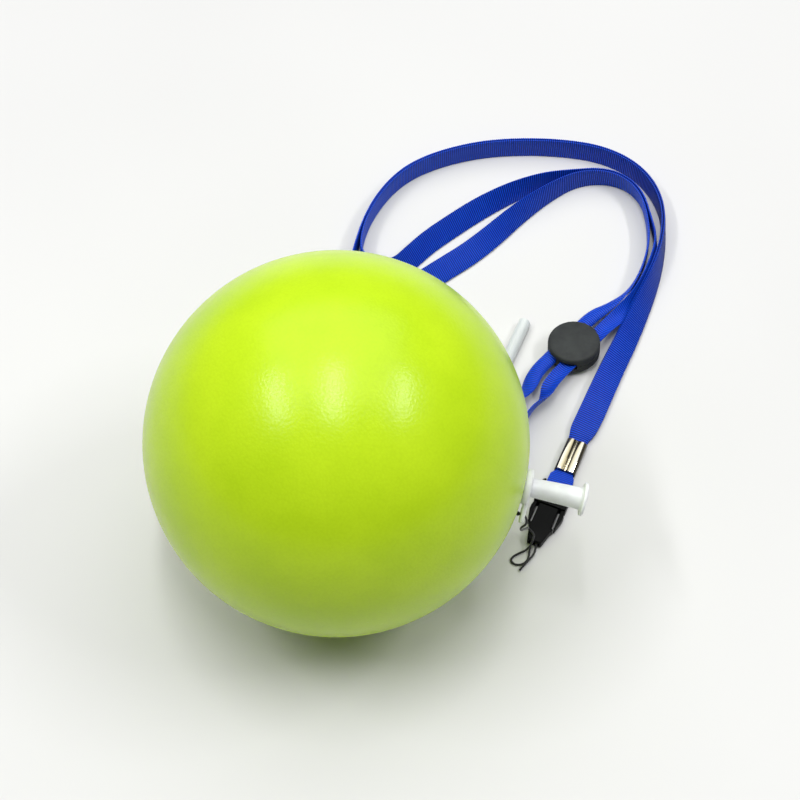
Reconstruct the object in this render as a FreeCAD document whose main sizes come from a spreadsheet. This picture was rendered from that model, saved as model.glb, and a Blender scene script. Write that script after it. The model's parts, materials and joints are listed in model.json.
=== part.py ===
import FreeCAD, Part
import math
import os
import Sketcher

# A soft inflatable posture ball on an adjustable neck lanyard, lying on a floor.
# Millimetres, +Z up.  The origin is the point where the ball rests on the floor.
# The valve points to +X, a little towards -Y and a little down.  The lanyard lies
# on the floor around the ball's right and rear.

Vector = FreeCAD.Vector
UP = Vector(0, 0, 1)

# How much of the strap's width is left where it is gathered or folded.
GATHERED = 0.72
FOLDED = 0.6

# ---------------------------------------------------------------- driving sizes
SIZES = [
    ("ball_diameter", 160.0, "inflated ball"),
    ("ball_wall", 1.0, "soft PVC skin"),
    ("valve_bearing", -10.8, "degrees, valve axis seen from above, from +X"),
    ("valve_dip", 7.0, "degrees, valve axis below the horizontal"),
    ("lug_lean", 41.0, "degrees, lug turned from straight down about the valve axis"),
    ("flange_diameter", 15.0, "valve flange outside the ball"),
    ("flange_thickness", 2.5, "valve flange"),
    ("neck_diameter", 11.6, "valve neck through the skin"),
    ("neck_depth", 12.0, "valve neck inside the ball"),
    ("lug_width", 7.0, "lug for the tether"),
    ("lug_reach", 16.2, "valve axis to the lug's round end"),
    ("lug_bottom", 1.2, "lug underside above the ball"),
    ("lug_thickness", 1.8, "lug"),
    ("eyelet_offset", 12.5, "valve axis to the eyelet"),
    ("eyelet_diameter", 2.4, "hole in the lug"),
    ("stem_radius", 4.0, "plug stem at the flange's outer face"),
    ("stem_taper", 0.031, "growth of the stem radius per millimetre outwards"),
    ("stem_insertion", 13.0, "stem below the flange's outer face"),
    ("stem_exposed", 21.8, "stem between flange and head"),
    ("stem_clearance", 0.04, "radial, stem in the valve bore"),
    ("plug_head_radius", 7.05, "finger flange of the plug"),
    ("plug_head_thickness", 1.7, "finger flange of the plug"),
    ("straw_diameter", 6.0, "inflation straw outside"),
    ("straw_wall", 0.35, "inflation straw"),
    ("straw_length", 130.0, "inflation straw"),
    ("strap_width", 12.0, "woven neck strap"),
    ("strap_thickness", 1.0, "woven neck strap"),
    ("strap_gap", 0.15, "between stacked strap layers"),
    ("gathered_share", GATHERED, "strap width left inside the crimp"),
    ("folded_share", FOLDED, "strap width left inside the adjuster"),
    ("crimp_side_room", 0.2, "between strap and crimp on each side"),
    ("crimp_head_room", 0.15, "between strap and crimp above and below"),
    ("crimp_length", 17.7, "metal crimp along the strap"),
    ("crimp_ridge", 1.0, "crimp's ridges above its pressed groove"),
    ("crimp_sheet", 0.5, "metal crimp sheet"),
    ("crimp_level", 2.3, "middle of the two strap layers above the floor"),
    ("crimp_start", 40.3, "tether end of the buckle to the crimp"),
    ("slider_diameter", 25.2, "round adjuster"),
    ("slider_thickness", 11.0, "round adjuster"),
    ("dome_share", 2.2, "radius of the adjuster's domes over its diameter"),
    ("slider_tilt", 5.0, "degrees, adjuster leaning on its rim"),
    ("channel_side_room", 0.3, "between strap and channel on each side"),
    ("channel_head_room", 1.2, "between strap and channel above and below"),
    ("channel_spacing", 9.8, "centre to centre of the two channels"),
    ("parting_gap", 0.1, "between the adjuster's halves"),
    ("buckle_width", 15.4, "snap buckle across"),
    ("buckle_thickness", 5.6, "snap buckle height"),
    ("socket_start", 20.0, "tip to the socket's mouth"),
    ("socket_length", 12.6, "socket with its strap bar"),
    ("cavity_depth", 7.4, "socket cavity from its mouth"),
    ("cavity_wall", 1.0, "beside the socket cavity"),
    ("cavity_height", 3.2, "socket cavity"),
    ("bar_radius", 1.2, "strap bar"),
    ("bar_place", 31.2, "tip to the strap bar"),
    ("insert_thickness", 5.0, "triangular insert"),
    ("insert_tip", 6.6, "insert width at the tether end"),
    ("tongue_width", 6.0, "tongue in the socket"),
    ("arm_root", 9.2, "tip to the release arms' roots"),
    ("arm_height", 4.4, "release arms outside the socket"),
    ("arm_inset", 3.0, "buckle's side to the insert's waist between the arms"),
    ("slit_width", 1.1, "between release arm and insert"),
    ("mouth_gap", 0.3, "between insert and socket"),
    ("tether_diameter", 1.0, "thin black tether cord"),
    ("knot_radius", 1.05, "stopper knot behind the lug"),
]

# Where the lanyard's hardware lies on the floor: the buckle's tether tip, the
# direction from that tip to the crimp, the adjuster's centre and its strap line.
BUCKLE_TIP = Vector(86.7, -5.7, 0)
BUCKLE_BEARING = 66.9
SLIDER_CENTRE = Vector(110.4, 99.7, 6.8)
SLIDER_BEARING = 48.5
STRAW_TIP = Vector(87.6, 117.0, 0)
STRAW_BEARING = 247.2

# The strap's two halves lie face to face from the crimp round the outer bend.
# Each row: x, y, z, roll (0 flat on the floor, 90 on edge), width share.
OUTER_BEND = [
    (106.3, 40.3, 2.3, 0, GATHERED),
    (110.0, 49.4, 2.3, 0, GATHERED),
    (112.0, 53.6, 2.4, 3, 0.99),
    (115.4, 60.0, 2.5, 8, 1.04),
    (121.6, 74.0, 2.9, 15, 1.03),
    (129.1, 90.4, 3.8, 25, 1.0),
    (136.2, 104.6, 4.6, 35, 1.0),
    (143.6, 121.0, 5.4, 46, 1.0),
    (150.6, 136.8, 6.1, 60, 1.0),
    (156.3, 152.2, 6.3, 73, 1.0),
    (160.0, 168.8, 6.3, 81, 1.0),
    (160.5, 185.4, 6.3, 86, 1.0),
    (155.9, 201.2, 6.2, 90, 1.0),
    (146.2, 214.1, 6.2, 90, 1.0),
    (131.0, 223.3, 6.2, 90, 1.0),
    (110.6, 227.4, 6.2, 90, 1.0),
    (89.0, 228.2, 6.2, 90, 1.0),
    (68.0, 226.2, 6.2, 90, 1.0),
    (47.6, 220.0, 6.2, 90, 1.0),
    (32.4, 211.8, 6.2, 90, 1.0),
    (22.2, 201.8, 6.2, 90, 1.0),
    (14.1, 189.2, 6.2, 90, 1.0),
    (8.5, 175.8, 6.2, 90, 1.0),
]
# The left half: round behind the ball, back over the top and through the adjuster.
LEFT_RETURN = [
    (4.4, 162.6, 6.2, 90, 1.0),
    (2.0, 151.0, 6.2, 90, 1.0),
    (3.6, 140.0, 6.2, 88, 1.0),
    (11.6, 131.2, 6.3, 80, 1.0),
    (24.0, 130.6, 5.9, 60, 1.0),
    (36.0, 138.8, 5.0, 42, 1.0),
    (49.4, 149.8, 4.0, 33, 1.0),
    (61.6, 159.2, 4.0, 33, 1.0),
    (73.8, 170.2, 4.9, 42, 1.0),
    (87.2, 183.7, 5.9, 58, 1.0),
    (102.4, 196.4, 6.3, 75, 1.0),
    (117.4, 206.0, 6.2, 86, 1.0),
    (131.8, 207.6, 6.2, 94, 1.0),
    (143.2, 202.9, 6.2, 101, 1.0),
    (150.2, 193.1, 6.2, 102, 1.0),
    (152.4, 179.0, 6.2, 97, 1.0),
    (151.9, 163.4, 6.2, 92, 1.0),
    (148.0, 148.4, 6.3, 90, 0.95),
    (140.6, 134.2, 6.3, 80, 0.85),
    (130.2, 125.4, 6.3, 45, 0.65),
    (121.3, 119.4, 6.4, 5, FOLDED),
    (111.2, 108.0, 6.7, 5, FOLDED),
    (101.0, 96.4, 6.4, 5, FOLDED),
    (90.8, 85.0, 6.6, 5, FOLDED),
    (86.6, 74.4, 6.2, 45, 0.75),
    (79.4, 65.2, 6.2, 75, 0.9),
    (73.2, 56.0, 6.2, 90, 1.0),
    (70.2, 46.4, 6.2, 90, 1.0),
    (70.2, 37.6, 6.2, 90, 1.0),
    (72.8, 31.6, 6.2, 90, 1.0),
    (76.8, 30.0, 6.2, 90, 1.0),
]
# The right half: a tighter turn, then outside the left half all the way back.
RIGHT_RETURN = [
    (6.4, 162.6, 6.2, 90, 1.0),
    (6.9, 153.4, 6.2, 88, 1.0),
    (15.0, 146.4, 6.2, 72, 1.0),
    (24.9, 148.0, 5.5, 54, 1.0),
    (32.0, 156.0, 4.9, 46, 1.0),
    (40.5, 165.5, 4.9, 46, 1.0),
    (52.9, 176.1, 4.9, 46, 1.0),
    (67.1, 187.3, 5.2, 50, 1.0),
    (84.2, 197.5, 6.1, 66, 1.0),
    (100.8, 204.6, 6.3, 80, 1.0),
    (116.9, 207.2, 6.2, 86, 1.0),
    (131.9, 209.0, 6.2, 94, 1.0),
    (144.0, 204.1, 6.2, 101, 1.0),
    (151.6, 193.6, 6.2, 102, 1.0),
    (153.9, 179.1, 6.2, 98, 1.0),
    (156.3, 164.0, 6.3, 100, 1.0),
    (151.7, 147.6, 6.3, 106, 0.95),
    (143.6, 130.4, 6.2, 115, 0.85),
    (135.6, 120.3, 6.4, 150, 0.7),
    (128.6, 112.9, 7.2, 185, FOLDED),
    (118.5, 101.5, 7.5, 185, FOLDED),
    (108.3, 89.9, 7.2, 185, FOLDED),
    (98.2, 78.5, 7.4, 185, FOLDED),
    (95.8, 70.2, 7.0, 240, 0.75),
    (88.8, 64.6, 6.6, 260, 0.9),
    (83.6, 55.0, 6.2, 270, 1.0),
    (82.4, 43.0, 6.2, 270, 1.0),
    (81.2, 35.0, 6.2, 270, 1.0),
    (76.8, 30.0, 6.2, 270, 1.0),
]
# The tether: from its knot through the lug's eyelet, down to the floor, round in a
# small loop, through the insert's tip and out again to its free end.
TETHER = [
    (75.4, -22.7, 60.9),
    (79.0, -23.4, 60.4),
    (79.2, -26.2, 57.6),
    (77.0, -26.6, 56.0),
    (77.0, -25.4, 51.6),
    (78.2, -21.6, 44.2),
    (80.4, -14.0, 31.6),
    (82.4, -6.8, 18.4),
    (83.5, -2.0, 10.6),
    (84.2, -0.2, 6.7),
    (86.9, -3.0, 6.2),
    (86.2, -5.6, 6.2),
    (85.0, -7.9, 4.6),
    (83.0, -9.0, 1.9),
    (80.4, -9.6, 0.9),
    (77.4, -11.2, 0.6),
    (75.9, -13.2, 0.6),
    (77.6, -15.4, 0.6),
    (80.8, -15.6, 0.6),
    (83.4, -13.9, 0.6),
    (84.5, -10.8, 0.6),
    (84.8, -7.8, 1.6),
    (85.7, -5.3, 2.8),
    (86.8, -2.7, 2.8),
    (88.0, -1.6, 2.8),
    (88.9, -3.2, 2.8),
    (87.8, -6.0, 2.8),
    (87.3, -8.8, 1.8),
    (86.2, -11.4, 1.9),
    (84.2, -13.8, 2.0),
    (82.2, -15.9, 1.7),
    (79.9, -18.4, 0.8),
]

doc = FreeCAD.newDocument("PostureBall")
sheet = doc.addObject("Spreadsheet::Sheet", "Sizes")
for row, (alias, value, meaning) in enumerate(SIZES, start=1):
    sheet.set("A%d" % row, str(value))
    sheet.set("B%d" % row, meaning)
    sheet.setAlias("A%d" % row, alias)
doc.recompute()


def size(alias):
    """The present value of one driving size."""
    return float(sheet.get(alias))


# ---------------------------------------------------------------- frames of the pieces
def unit(bearing, dip=0.0):
    """Direction at a compass bearing from +X, dipping below the horizontal."""
    flat = math.cos(math.radians(dip))
    turn = math.radians(bearing)
    return Vector(math.cos(turn) * flat, math.sin(turn) * flat, -math.sin(math.radians(dip)))


def frame(base, x_axis, y_axis):
    """Placement with its origin at base and its X and Y along the given directions."""
    return FreeCAD.Placement(base, FreeCAD.Rotation(x_axis, y_axis, x_axis.cross(y_axis), "ZXY"))


def valve_frame():
    """Z out of the ball through the valve, origin on the skin, lug towards -Y."""
    outwards = unit(size("valve_bearing"), size("valve_dip"))
    level = UP.cross(outwards).normalize()
    upwards = outwards.cross(level)
    lean = math.radians(size("lug_lean"))
    away_from_lug = upwards * math.cos(lean) + level * math.sin(lean)
    radius = size("ball_diameter") / 2
    base = Vector(0, 0, radius) + outwards * radius
    return frame(base, away_from_lug.cross(outwards), away_from_lug)


def buckle_frame():
    """X across the buckle, Y from its tether tip to the crimp, Z up."""
    along = unit(BUCKLE_BEARING)
    return frame(BUCKLE_TIP, along.cross(UP), along)


def slider_frame():
    """X along the straps, Z out of the adjuster's top, leaning to its left."""
    along = unit(SLIDER_BEARING)
    left = UP.cross(along)
    tilt = math.radians(size("slider_tilt"))
    across = left * math.cos(tilt) - UP * math.sin(tilt)
    return frame(SLIDER_CENTRE, along, across)


# ---------------------------------------------------------------- document helpers
def bind(item, **formulas):
    """Bind properties of a document object to the sheet."""
    for name, formula in formulas.items():
        item.setExpression(name.replace("_dot_", "."), formula)
    return item


def primitive(kind, name, base=(), **formulas):
    """A Part primitive with its sizes and, where given, its base point bound to the sheet."""
    item = doc.addObject("Part::" + kind, name)
    for axis, formula in zip("xyz", base):
        item.setExpression("Placement.Base." + axis, formula)
    return bind(item, **formulas)


def boolean(kind, name, first, *others):
    """A Cut of two shapes, or a MultiFuse or MultiCommon of several."""
    item = doc.addObject("Part::" + kind, name)
    if kind == "Cut":
        item.Base = first
        item.Tool = others[0]
    else:
        item.Shapes = [first] + list(others)
    return item


def outline(body, name, plane, *loops):
    """A sketch of closed polygons whose corners are all bound to the sheet."""
    sketch = body.newObject("Sketcher::SketchObject", name)
    planes = [f for f in body.Origin.OriginFeatures if f.Role == plane]
    sketch.AttachmentSupport = [(planes[0], "")]
    sketch.MapMode = "FlatFace"
    for corners in loops:
        first = sketch.GeometryCount
        count = len(corners)
        start = [unit(360.0 * k / count) for k in range(count + 1)]
        for k in range(count):
            sketch.addGeometry(Part.LineSegment(start[k], start[k + 1]))
        for k in range(count):
            after = first + (k + 1) % count
            sketch.addConstraint(Sketcher.Constraint("Coincident", first + k, 2, after, 1))
        for k, corner in enumerate(corners):
            for kind, formula in zip(("DistanceX", "DistanceY"), corner):
                index = sketch.addConstraint(Sketcher.Constraint(kind, -1, 1, first + k, 1, 1.0))
                sketch.setExpression("Constraints[%d]" % index, formula)
    return sketch


def new_body(name):
    """An empty PartDesign body."""
    body = doc.addObject("PartDesign::Body", name)
    doc.recompute()
    return body


def pad(body, name, sketch, length):
    """A pad of a sketch along its normal."""
    item = body.newObject("PartDesign::Pad", name)
    item.Profile = sketch
    item.setExpression("Length", length)
    doc.recompute()
    return item


def edges_at(shape, test):
    """Names of the edges whose middle passes a test."""
    chosen = []
    for k, edge in enumerate(shape.Edges, start=1):
        middle = edge.valueAt((edge.FirstParameter + edge.LastParameter) / 2)
        if test(middle):
            chosen.append("Edge%d" % k)
    return chosen


def fillet(body, name, base, radius, test):
    """A PartDesign fillet on the edges that pass a test."""
    item = body.newObject("PartDesign::Fillet", name)
    item.Base = (base, edges_at(base.Shape, test))
    item.Radius = radius
    doc.recompute()
    return item


# ---------------------------------------------------------------- ball, valve and plug
def ball_shell():
    """Hollow sphere with a round hole for the valve neck."""
    centre = ("0", "0", "-Sizes.ball_diameter / 2")
    skin = primitive("Sphere", "ball_skin", centre, Radius="Sizes.ball_diameter / 2")
    air = primitive("Sphere", "ball_air", centre, Radius="Sizes.ball_diameter / 2 - Sizes.ball_wall")
    hole = primitive("Cylinder", "ball_hole", ("0", "0", "-Sizes.neck_depth"),
                     Radius="Sizes.neck_diameter / 2 + 0.05", Height="Sizes.neck_depth * 2")
    shell = boolean("Cut", "ball_hollow", skin, air)
    return boolean("Cut", "ball_shell", shell, hole)


def valve_seat():
    """Flange with its lug, the neck inside the ball, the tapered bore and the eyelet."""
    plate_parts = [
        primitive("Cylinder", "seat_disc", ("0", "0", "-1"),
                  Radius="Sizes.flange_diameter / 2", Height="Sizes.flange_thickness + 1"),
        primitive("Box", "seat_lug",
                  ("-Sizes.lug_width / 2", "-Sizes.lug_reach + Sizes.lug_width / 2", "Sizes.lug_bottom"),
                  Length="Sizes.lug_width", Width="Sizes.lug_reach - Sizes.lug_width / 2",
                  Height="Sizes.lug_thickness"),
        primitive("Cylinder", "seat_lug_end",
                  ("0", "-Sizes.lug_reach + Sizes.lug_width / 2", "Sizes.lug_bottom"),
                  Radius="Sizes.lug_width / 2", Height="Sizes.lug_thickness"),
    ]
    plate = boolean("MultiFuse", "seat_plate", *plate_parts)
    skin = primitive("Sphere", "seat_skin", ("0", "0", "-Sizes.ball_diameter / 2"),
                     Radius="Sizes.ball_diameter / 2 + 0.03")
    shaped = boolean("Cut", "seat_shaped", plate, skin)
    neck = primitive("Cylinder", "seat_neck", ("0", "0", "-Sizes.neck_depth"),
                     Radius="Sizes.neck_diameter / 2", Height="Sizes.neck_depth + 1")
    solid = boolean("MultiFuse", "seat_solid", shaped, neck)
    bore = primitive("Cone", "seat_bore", ("0", "0", "-Sizes.neck_depth - 1"),
                     Radius1="Sizes.stem_radius + Sizes.stem_clearance"
                             " - Sizes.stem_taper * (Sizes.neck_depth + 1 + Sizes.flange_thickness)",
                     Radius2="Sizes.stem_radius + Sizes.stem_clearance + Sizes.stem_taper",
                     Height="Sizes.neck_depth + Sizes.flange_thickness + 2")
    eyelet = primitive("Cylinder", "seat_eyelet", ("0", "-Sizes.eyelet_offset", "-2"),
                       Radius="Sizes.eyelet_diameter / 2", Height="Sizes.lug_thickness + 6")
    return boolean("Cut", "valve_seat", solid, boolean("MultiFuse", "seat_holes", bore, eyelet))


def valve_plug():
    """Tapered stem with a finger flange, turned about the valve axis."""
    body = new_body("valve_plug")
    face = "Sizes.flange_thickness"
    tip = face + " - Sizes.stem_insertion"
    head = face + " + Sizes.stem_exposed"
    top = head + " + Sizes.plug_head_thickness"
    profile = outline(body, "plug_profile", "XZ_Plane", [
        ("0", tip),
        ("Sizes.stem_radius - Sizes.stem_taper * Sizes.stem_insertion", tip),
        ("Sizes.stem_radius + Sizes.stem_taper * Sizes.stem_exposed", head),
        ("Sizes.plug_head_radius", head),
        ("Sizes.plug_head_radius", top),
        ("0", top),
    ])
    turned = body.newObject("PartDesign::Revolution", "plug_turned")
    turned.Profile = profile
    turned.ReferenceAxis = (profile, ["V_Axis"])
    turned.Angle = 360
    doc.recompute()
    height = size("flange_thickness") + size("stem_exposed")
    stem = size("stem_radius") + size("stem_taper") * size("stem_exposed")
    root = fillet(body, "plug_root", turned, 0.9,
                  lambda p: abs(p.z - height) < 0.01 and abs(math.hypot(p.x, p.y) - stem) < 0.01)
    fillet(body, "plug_rim", root, 0.6,
           lambda p: abs(p.z - height - size("plug_head_thickness")) < 0.01 and math.hypot(p.x, p.y) > 1)
    return body


def inflation_straw():
    """Thin tube lying on the floor, partly under the ball."""
    body = new_body("inflation_straw")
    sketch = body.newObject("Sketcher::SketchObject", "straw_rings")
    planes = [f for f in body.Origin.OriginFeatures if f.Role == "YZ_Plane"]
    sketch.AttachmentSupport = [(planes[0], "")]
    sketch.MapMode = "FlatFace"
    for k, formula in enumerate(("Sizes.straw_diameter / 2", "Sizes.straw_diameter / 2 - Sizes.straw_wall")):
        sketch.addGeometry(Part.Circle(Vector(0, 0, 0), UP, 2.0 + k))
        sketch.addConstraint(Sketcher.Constraint("Coincident", k, 3, -1, 1))
        index = sketch.addConstraint(Sketcher.Constraint("Radius", k, 2.0 + k))
        sketch.setExpression("Constraints[%d]" % index, formula)
    pad(body, "straw_tube", sketch, "Sizes.straw_length")
    return body


# ---------------------------------------------------------------- round adjuster
def slider_half(name, side):
    """Half of the adjuster, domed on its outside, with two half channels."""
    inner = "Sizes.parting_gap / 2"
    height = "Sizes.slider_thickness / 2 - Sizes.parting_gap / 2"
    base = inner if side > 0 else "-Sizes.slider_thickness / 2"
    disc = primitive("Cylinder", name + "_disc", ("0", "0", base),
                     Radius="Sizes.slider_diameter / 2", Height=height)
    drop = "Sizes.slider_thickness / 2 - Sizes.slider_diameter * Sizes.dome_share"
    centre = drop if side > 0 else "-(" + drop + ")"
    dome = primitive("Sphere", name + "_dome", ("0", "0", centre), Radius="Sizes.slider_diameter * Sizes.dome_share")
    domed = boolean("MultiCommon", name + "_domed", disc, dome)
    width = "(Sizes.strap_width * Sizes.folded_share + 2 * Sizes.channel_side_room)"
    room = "(Sizes.strap_thickness + 2 * Sizes.channel_head_room)"
    channels = []
    for k, sign in enumerate(("-", "+")):
        middle = sign + "Sizes.channel_spacing / 2 - " + width + " / 2"
        channels.append(primitive("Box", "%s_channel_%d" % (name, k + 1),
                                  ("-Sizes.slider_diameter", middle, "-" + room + " / 2"),
                                  Length="Sizes.slider_diameter * 2", Width=width, Height=room))
    return boolean("Cut", name, domed, boolean("MultiFuse", name + "_channels", *channels))


# ---------------------------------------------------------------- crimp and buckle
def strap_crimp():
    """Folded sheet sleeve: two ridges along it with a pressed groove between them."""
    body = new_body("crimp_sleeve")
    room = "(Sizes.strap_width * Sizes.gathered_share + 2 * Sizes.crimp_side_room)"
    layers = "(2 * Sizes.strap_thickness + Sizes.strap_gap + 2 * Sizes.crimp_head_room)"
    half = "(" + room + " / 2 + Sizes.crimp_sheet)"
    roof = "(Sizes.crimp_level + " + layers + " / 2 + Sizes.crimp_sheet)"
    crest = "(" + roof + " + Sizes.crimp_ridge)"
    outer = [
        ("-" + half, "0"), (half, "0"), (half, roof), (half + " - 0.9", crest), (half + " - 2.3", crest),
        ("0.7", roof), ("-0.7", roof), ("-" + half + " + 2.3", crest), ("-" + half + " + 0.9", crest),
        ("-" + half, roof),
    ]
    sleeve = pad(body, "crimp_sleeve_pad", outline(body, "crimp_section", "XY_Plane", outer),
                 "Sizes.crimp_length")
    top = sleeve.Shape.BoundBox.YMax
    fillet(body, "crimp_edges", sleeve, 0.35,
           lambda p: p.y > top - 0.6 and 0.1 < p.z < size("crimp_length") - 0.1)
    slot = primitive("Box", "crimp_slot",
                     ("-" + room + " / 2", "Sizes.crimp_level - " + layers + " / 2", "-1"),
                     Length=room, Width=layers, Height="Sizes.crimp_length + 2")
    return boolean("Cut", "strap_crimp", body, slot)


def buckle_socket():
    """Rear half of the snap buckle: a flat cavity at its mouth, a strap bar at its rear."""
    half = "Sizes.buckle_width / 2"
    block = primitive("Box", "socket_block", ("-" + half, "Sizes.socket_start", "0"),
                      Length="Sizes.buckle_width", Width="Sizes.socket_length",
                      Height="Sizes.buckle_thickness")
    doc.recompute()
    rounded = doc.addObject("Part::Fillet", "socket_rounded")
    rounded.Base = block
    radius = 1.0
    rounded.Edges = [(k, radius, radius) for k in range(1, 13)]
    cavity_width = "(Sizes.buckle_width - 2 * Sizes.cavity_wall)"
    cavity = primitive("Box", "socket_cavity",
                       ("-" + cavity_width + " / 2", "Sizes.socket_start - 1",
                        "Sizes.buckle_thickness / 2 - Sizes.cavity_height / 2"),
                       Length=cavity_width, Width="Sizes.cavity_depth + 1",
                       Height="Sizes.cavity_height")
    slot_start = "Sizes.socket_start + Sizes.cavity_depth + 1.2"
    slot = primitive("Box", "socket_slot", ("-Sizes.strap_width / 2", slot_start, "-1"),
                     Length="Sizes.strap_width", Width="Sizes.socket_length",
                     Height="Sizes.buckle_thickness + 2")
    hollow = boolean("Cut", "socket_hollow", rounded, boolean("MultiFuse", "socket_voids", cavity, slot))
    bar = primitive("Cylinder", "socket_bar",
                    ("-Sizes.strap_width / 2 - 0.6", "Sizes.bar_place", "Sizes.buckle_thickness / 2"),
                    Radius="Sizes.bar_radius", Height="Sizes.strap_width + 1.2")
    bar.Placement.Rotation = FreeCAD.Rotation(Vector(0, 1, 0), 90)
    return boolean("MultiFuse", "buckle_socket", hollow, bar)


def buckle_insert():
    """Triangular front half: plate, tongue, and a hollow tip with a pin for the tether."""
    body = new_body("insert_body")
    tip = "Sizes.insert_tip / 2"
    shoulder = "Sizes.buckle_width / 2 - 1.6"
    neck = "Sizes.buckle_width / 2 - Sizes.arm_inset"
    root = "Sizes.arm_root - Sizes.mouth_gap"
    mouth = "Sizes.socket_start - Sizes.mouth_gap"
    right = [(tip, "0"), (shoulder + " - 1.1", root + " - 1.9"), (shoulder, root), (neck, root), (neck, mouth)]
    left = [("-(" + x + ")", y) for x, y in reversed(right)]
    plate = pad(body, "insert_plate", outline(body, "insert_plan", "XY_Plane", right + left),
                "Sizes.insert_thickness")
    fillet(body, "insert_edges", plate, 0.5,
           lambda p: p.z > size("insert_thickness") - 0.01 or p.z < 0.01)
    body.Placement.Base = Vector(0, 0, (size("buckle_thickness") - size("insert_thickness")) / 2)
    tongue = primitive("Box", "insert_tongue",
                       ("-Sizes.tongue_width / 2", "Sizes.socket_start - 3",
                        "Sizes.buckle_thickness / 2 - Sizes.cavity_height / 2 + 0.2"),
                       Length="Sizes.tongue_width", Width="Sizes.cavity_depth + 2.4",
                       Height="Sizes.cavity_height - 0.4")
    pocket = primitive("Box", "insert_pocket",
                       ("-Sizes.insert_tip / 2 + 0.7", "-1", "Sizes.buckle_thickness / 2 - 1"),
                       Length="Sizes.insert_tip - 1.4", Width="5.6", Height="2")
    pin = primitive("Cylinder", "insert_pin", ("0", "2.4", "Sizes.buckle_thickness / 2 - 1.2"),
                    Radius="0.5", Height="2.4")
    hollow = boolean("Cut", "insert_hollow", body, pocket)
    return boolean("MultiFuse", "buckle_insert", hollow, tongue, pin)


def release_arm(name, side):
    """Side arm that is pressed in to free the socket, with its prong in the cavity."""
    sign = "" if side > 0 else "-"
    inside = "(Sizes.buckle_width / 2 - Sizes.arm_inset + Sizes.slit_width)"
    outside = "(Sizes.buckle_width / 2)"
    wall = "(Sizes.buckle_width / 2 - Sizes.cavity_wall - 0.2)"
    mouth = "(Sizes.socket_start - Sizes.mouth_gap)"
    depth = "(Sizes.socket_start + Sizes.cavity_depth - 2)"
    grip = [
        (inside, "Sizes.arm_root"), (outside + " - 1.2", "Sizes.arm_root"),
        (outside + " + 0.2", "Sizes.arm_root + 6"), (outside + " + 0.2", mouth + " - 2.2"),
        (outside + " - 0.3", mouth), (inside, mouth),
    ]
    prong = [
        (inside, mouth + " - 1.5"), (wall, mouth + " - 1.5"), (wall, depth + " - 1"),
        (wall + " - 0.5", depth), (wall + " - 1.2", depth), (wall + " - 1.2", mouth + " + 1.2"),
        (inside, mouth + " - 0.1"),
    ]
    halves = []
    for suffix, corners, height in (("grip", grip, "Sizes.arm_height"),
                                    ("prong", prong, "Sizes.cavity_height - 0.4")):
        body = new_body(name + "_" + suffix)
        plan = [(sign + "(" + x + ")", y) for x, y in corners]
        sketch = outline(body, "%s_%s_plan" % (name, suffix), "XY_Plane", plan)
        pad(body, "%s_%s_pad" % (name, suffix), sketch, height)
        body.Placement.Base = Vector(0, 0, (size("buckle_thickness") - body.Shape.BoundBox.ZLength) / 2)
        halves.append(body)
    return boolean("MultiFuse", name, *halves)


# ---------------------------------------------------------------- strap and tether
def bends(points):
    """For each inner point of a route: its arc's trim length and its turn."""
    found = []
    for before, here, after in zip(points, points[1:], points[2:]):
        run_in = here - before
        run_out = after - here
        turn = run_in.getAngle(run_out)
        found.append((0.45 * min(run_in.Length, run_out.Length), turn))
    return found


def print_radii(name, points):
    """List the radius of each arc of a route."""
    radii = [trim / math.tan(turn / 2) for trim, turn in bends(points)]
    print(name, "radii mm:", " ".join("%.1f" % radius for radius in radii))


def stations(points):
    """Positions, directions and route parameters along the runs and arcs of a ribbon."""
    found = [(points[0], (points[1] - points[0]).normalize(), 0.0)]
    for k, (trim, turn) in enumerate(bends(points), start=1):
        here = points[k]
        towards = (here - points[k - 1]).normalize()
        onwards = (points[k + 1] - here).normalize()
        radius = trim / math.tan(turn / 2)
        centre = here + (onwards - towards).normalize() * (radius / math.cos(turn / 2))
        steps = max(2, math.ceil(math.degrees(turn) / 9))
        spoke = here - towards * trim - centre
        axis = towards.cross(onwards)
        for step in range(steps + 1):
            share = step / steps
            turned = FreeCAD.Rotation(axis, math.degrees(turn) * share)
            span_in = trim / (here - points[k - 1]).Length
            span_out = trim / (points[k + 1] - here).Length
            place = k + (2 * share - 1) * (span_in if share < 0.5 else span_out)
            found.append((centre + turned.multVec(spoke), turned.multVec(towards), place))
    last = len(points) - 1
    found.append((points[last], (points[last] - points[last - 1]).normalize(), float(last)))
    return found


def between(values, place):
    """Linear reading of a list at a fractional index."""
    low = min(int(place), len(values) - 2)
    share = place - low
    return values[low] * (1 - share) + values[low + 1] * share


def face_normal(direction, roll):
    """Unit normal of the strap's face for a direction of travel and a roll in degrees."""
    left = UP.cross(direction).normalize()
    upright = direction.cross(left)
    turn = math.radians(roll)
    width = left * math.cos(turn) + upright * math.sin(turn)
    return direction.cross(width), width


def layer_route(side):
    """The outer bend shifted by half a layer, so that the two halves lie face to face."""
    rise = side * (size("strap_thickness") + size("strap_gap")) / 2
    rows = []
    for k, (x, y, z, roll, share) in enumerate(OUTER_BEND):
        before = OUTER_BEND[max(k - 1, 0)]
        after = OUTER_BEND[min(k + 1, len(OUTER_BEND) - 1)]
        travel = Vector(after[0] - before[0], after[1] - before[1], 0).normalize()
        normal, width = face_normal(travel, roll)
        spot = Vector(x, y, z) + normal * rise
        rows.append((spot.x, spot.y, spot.z, roll, share))
    return rows


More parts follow.
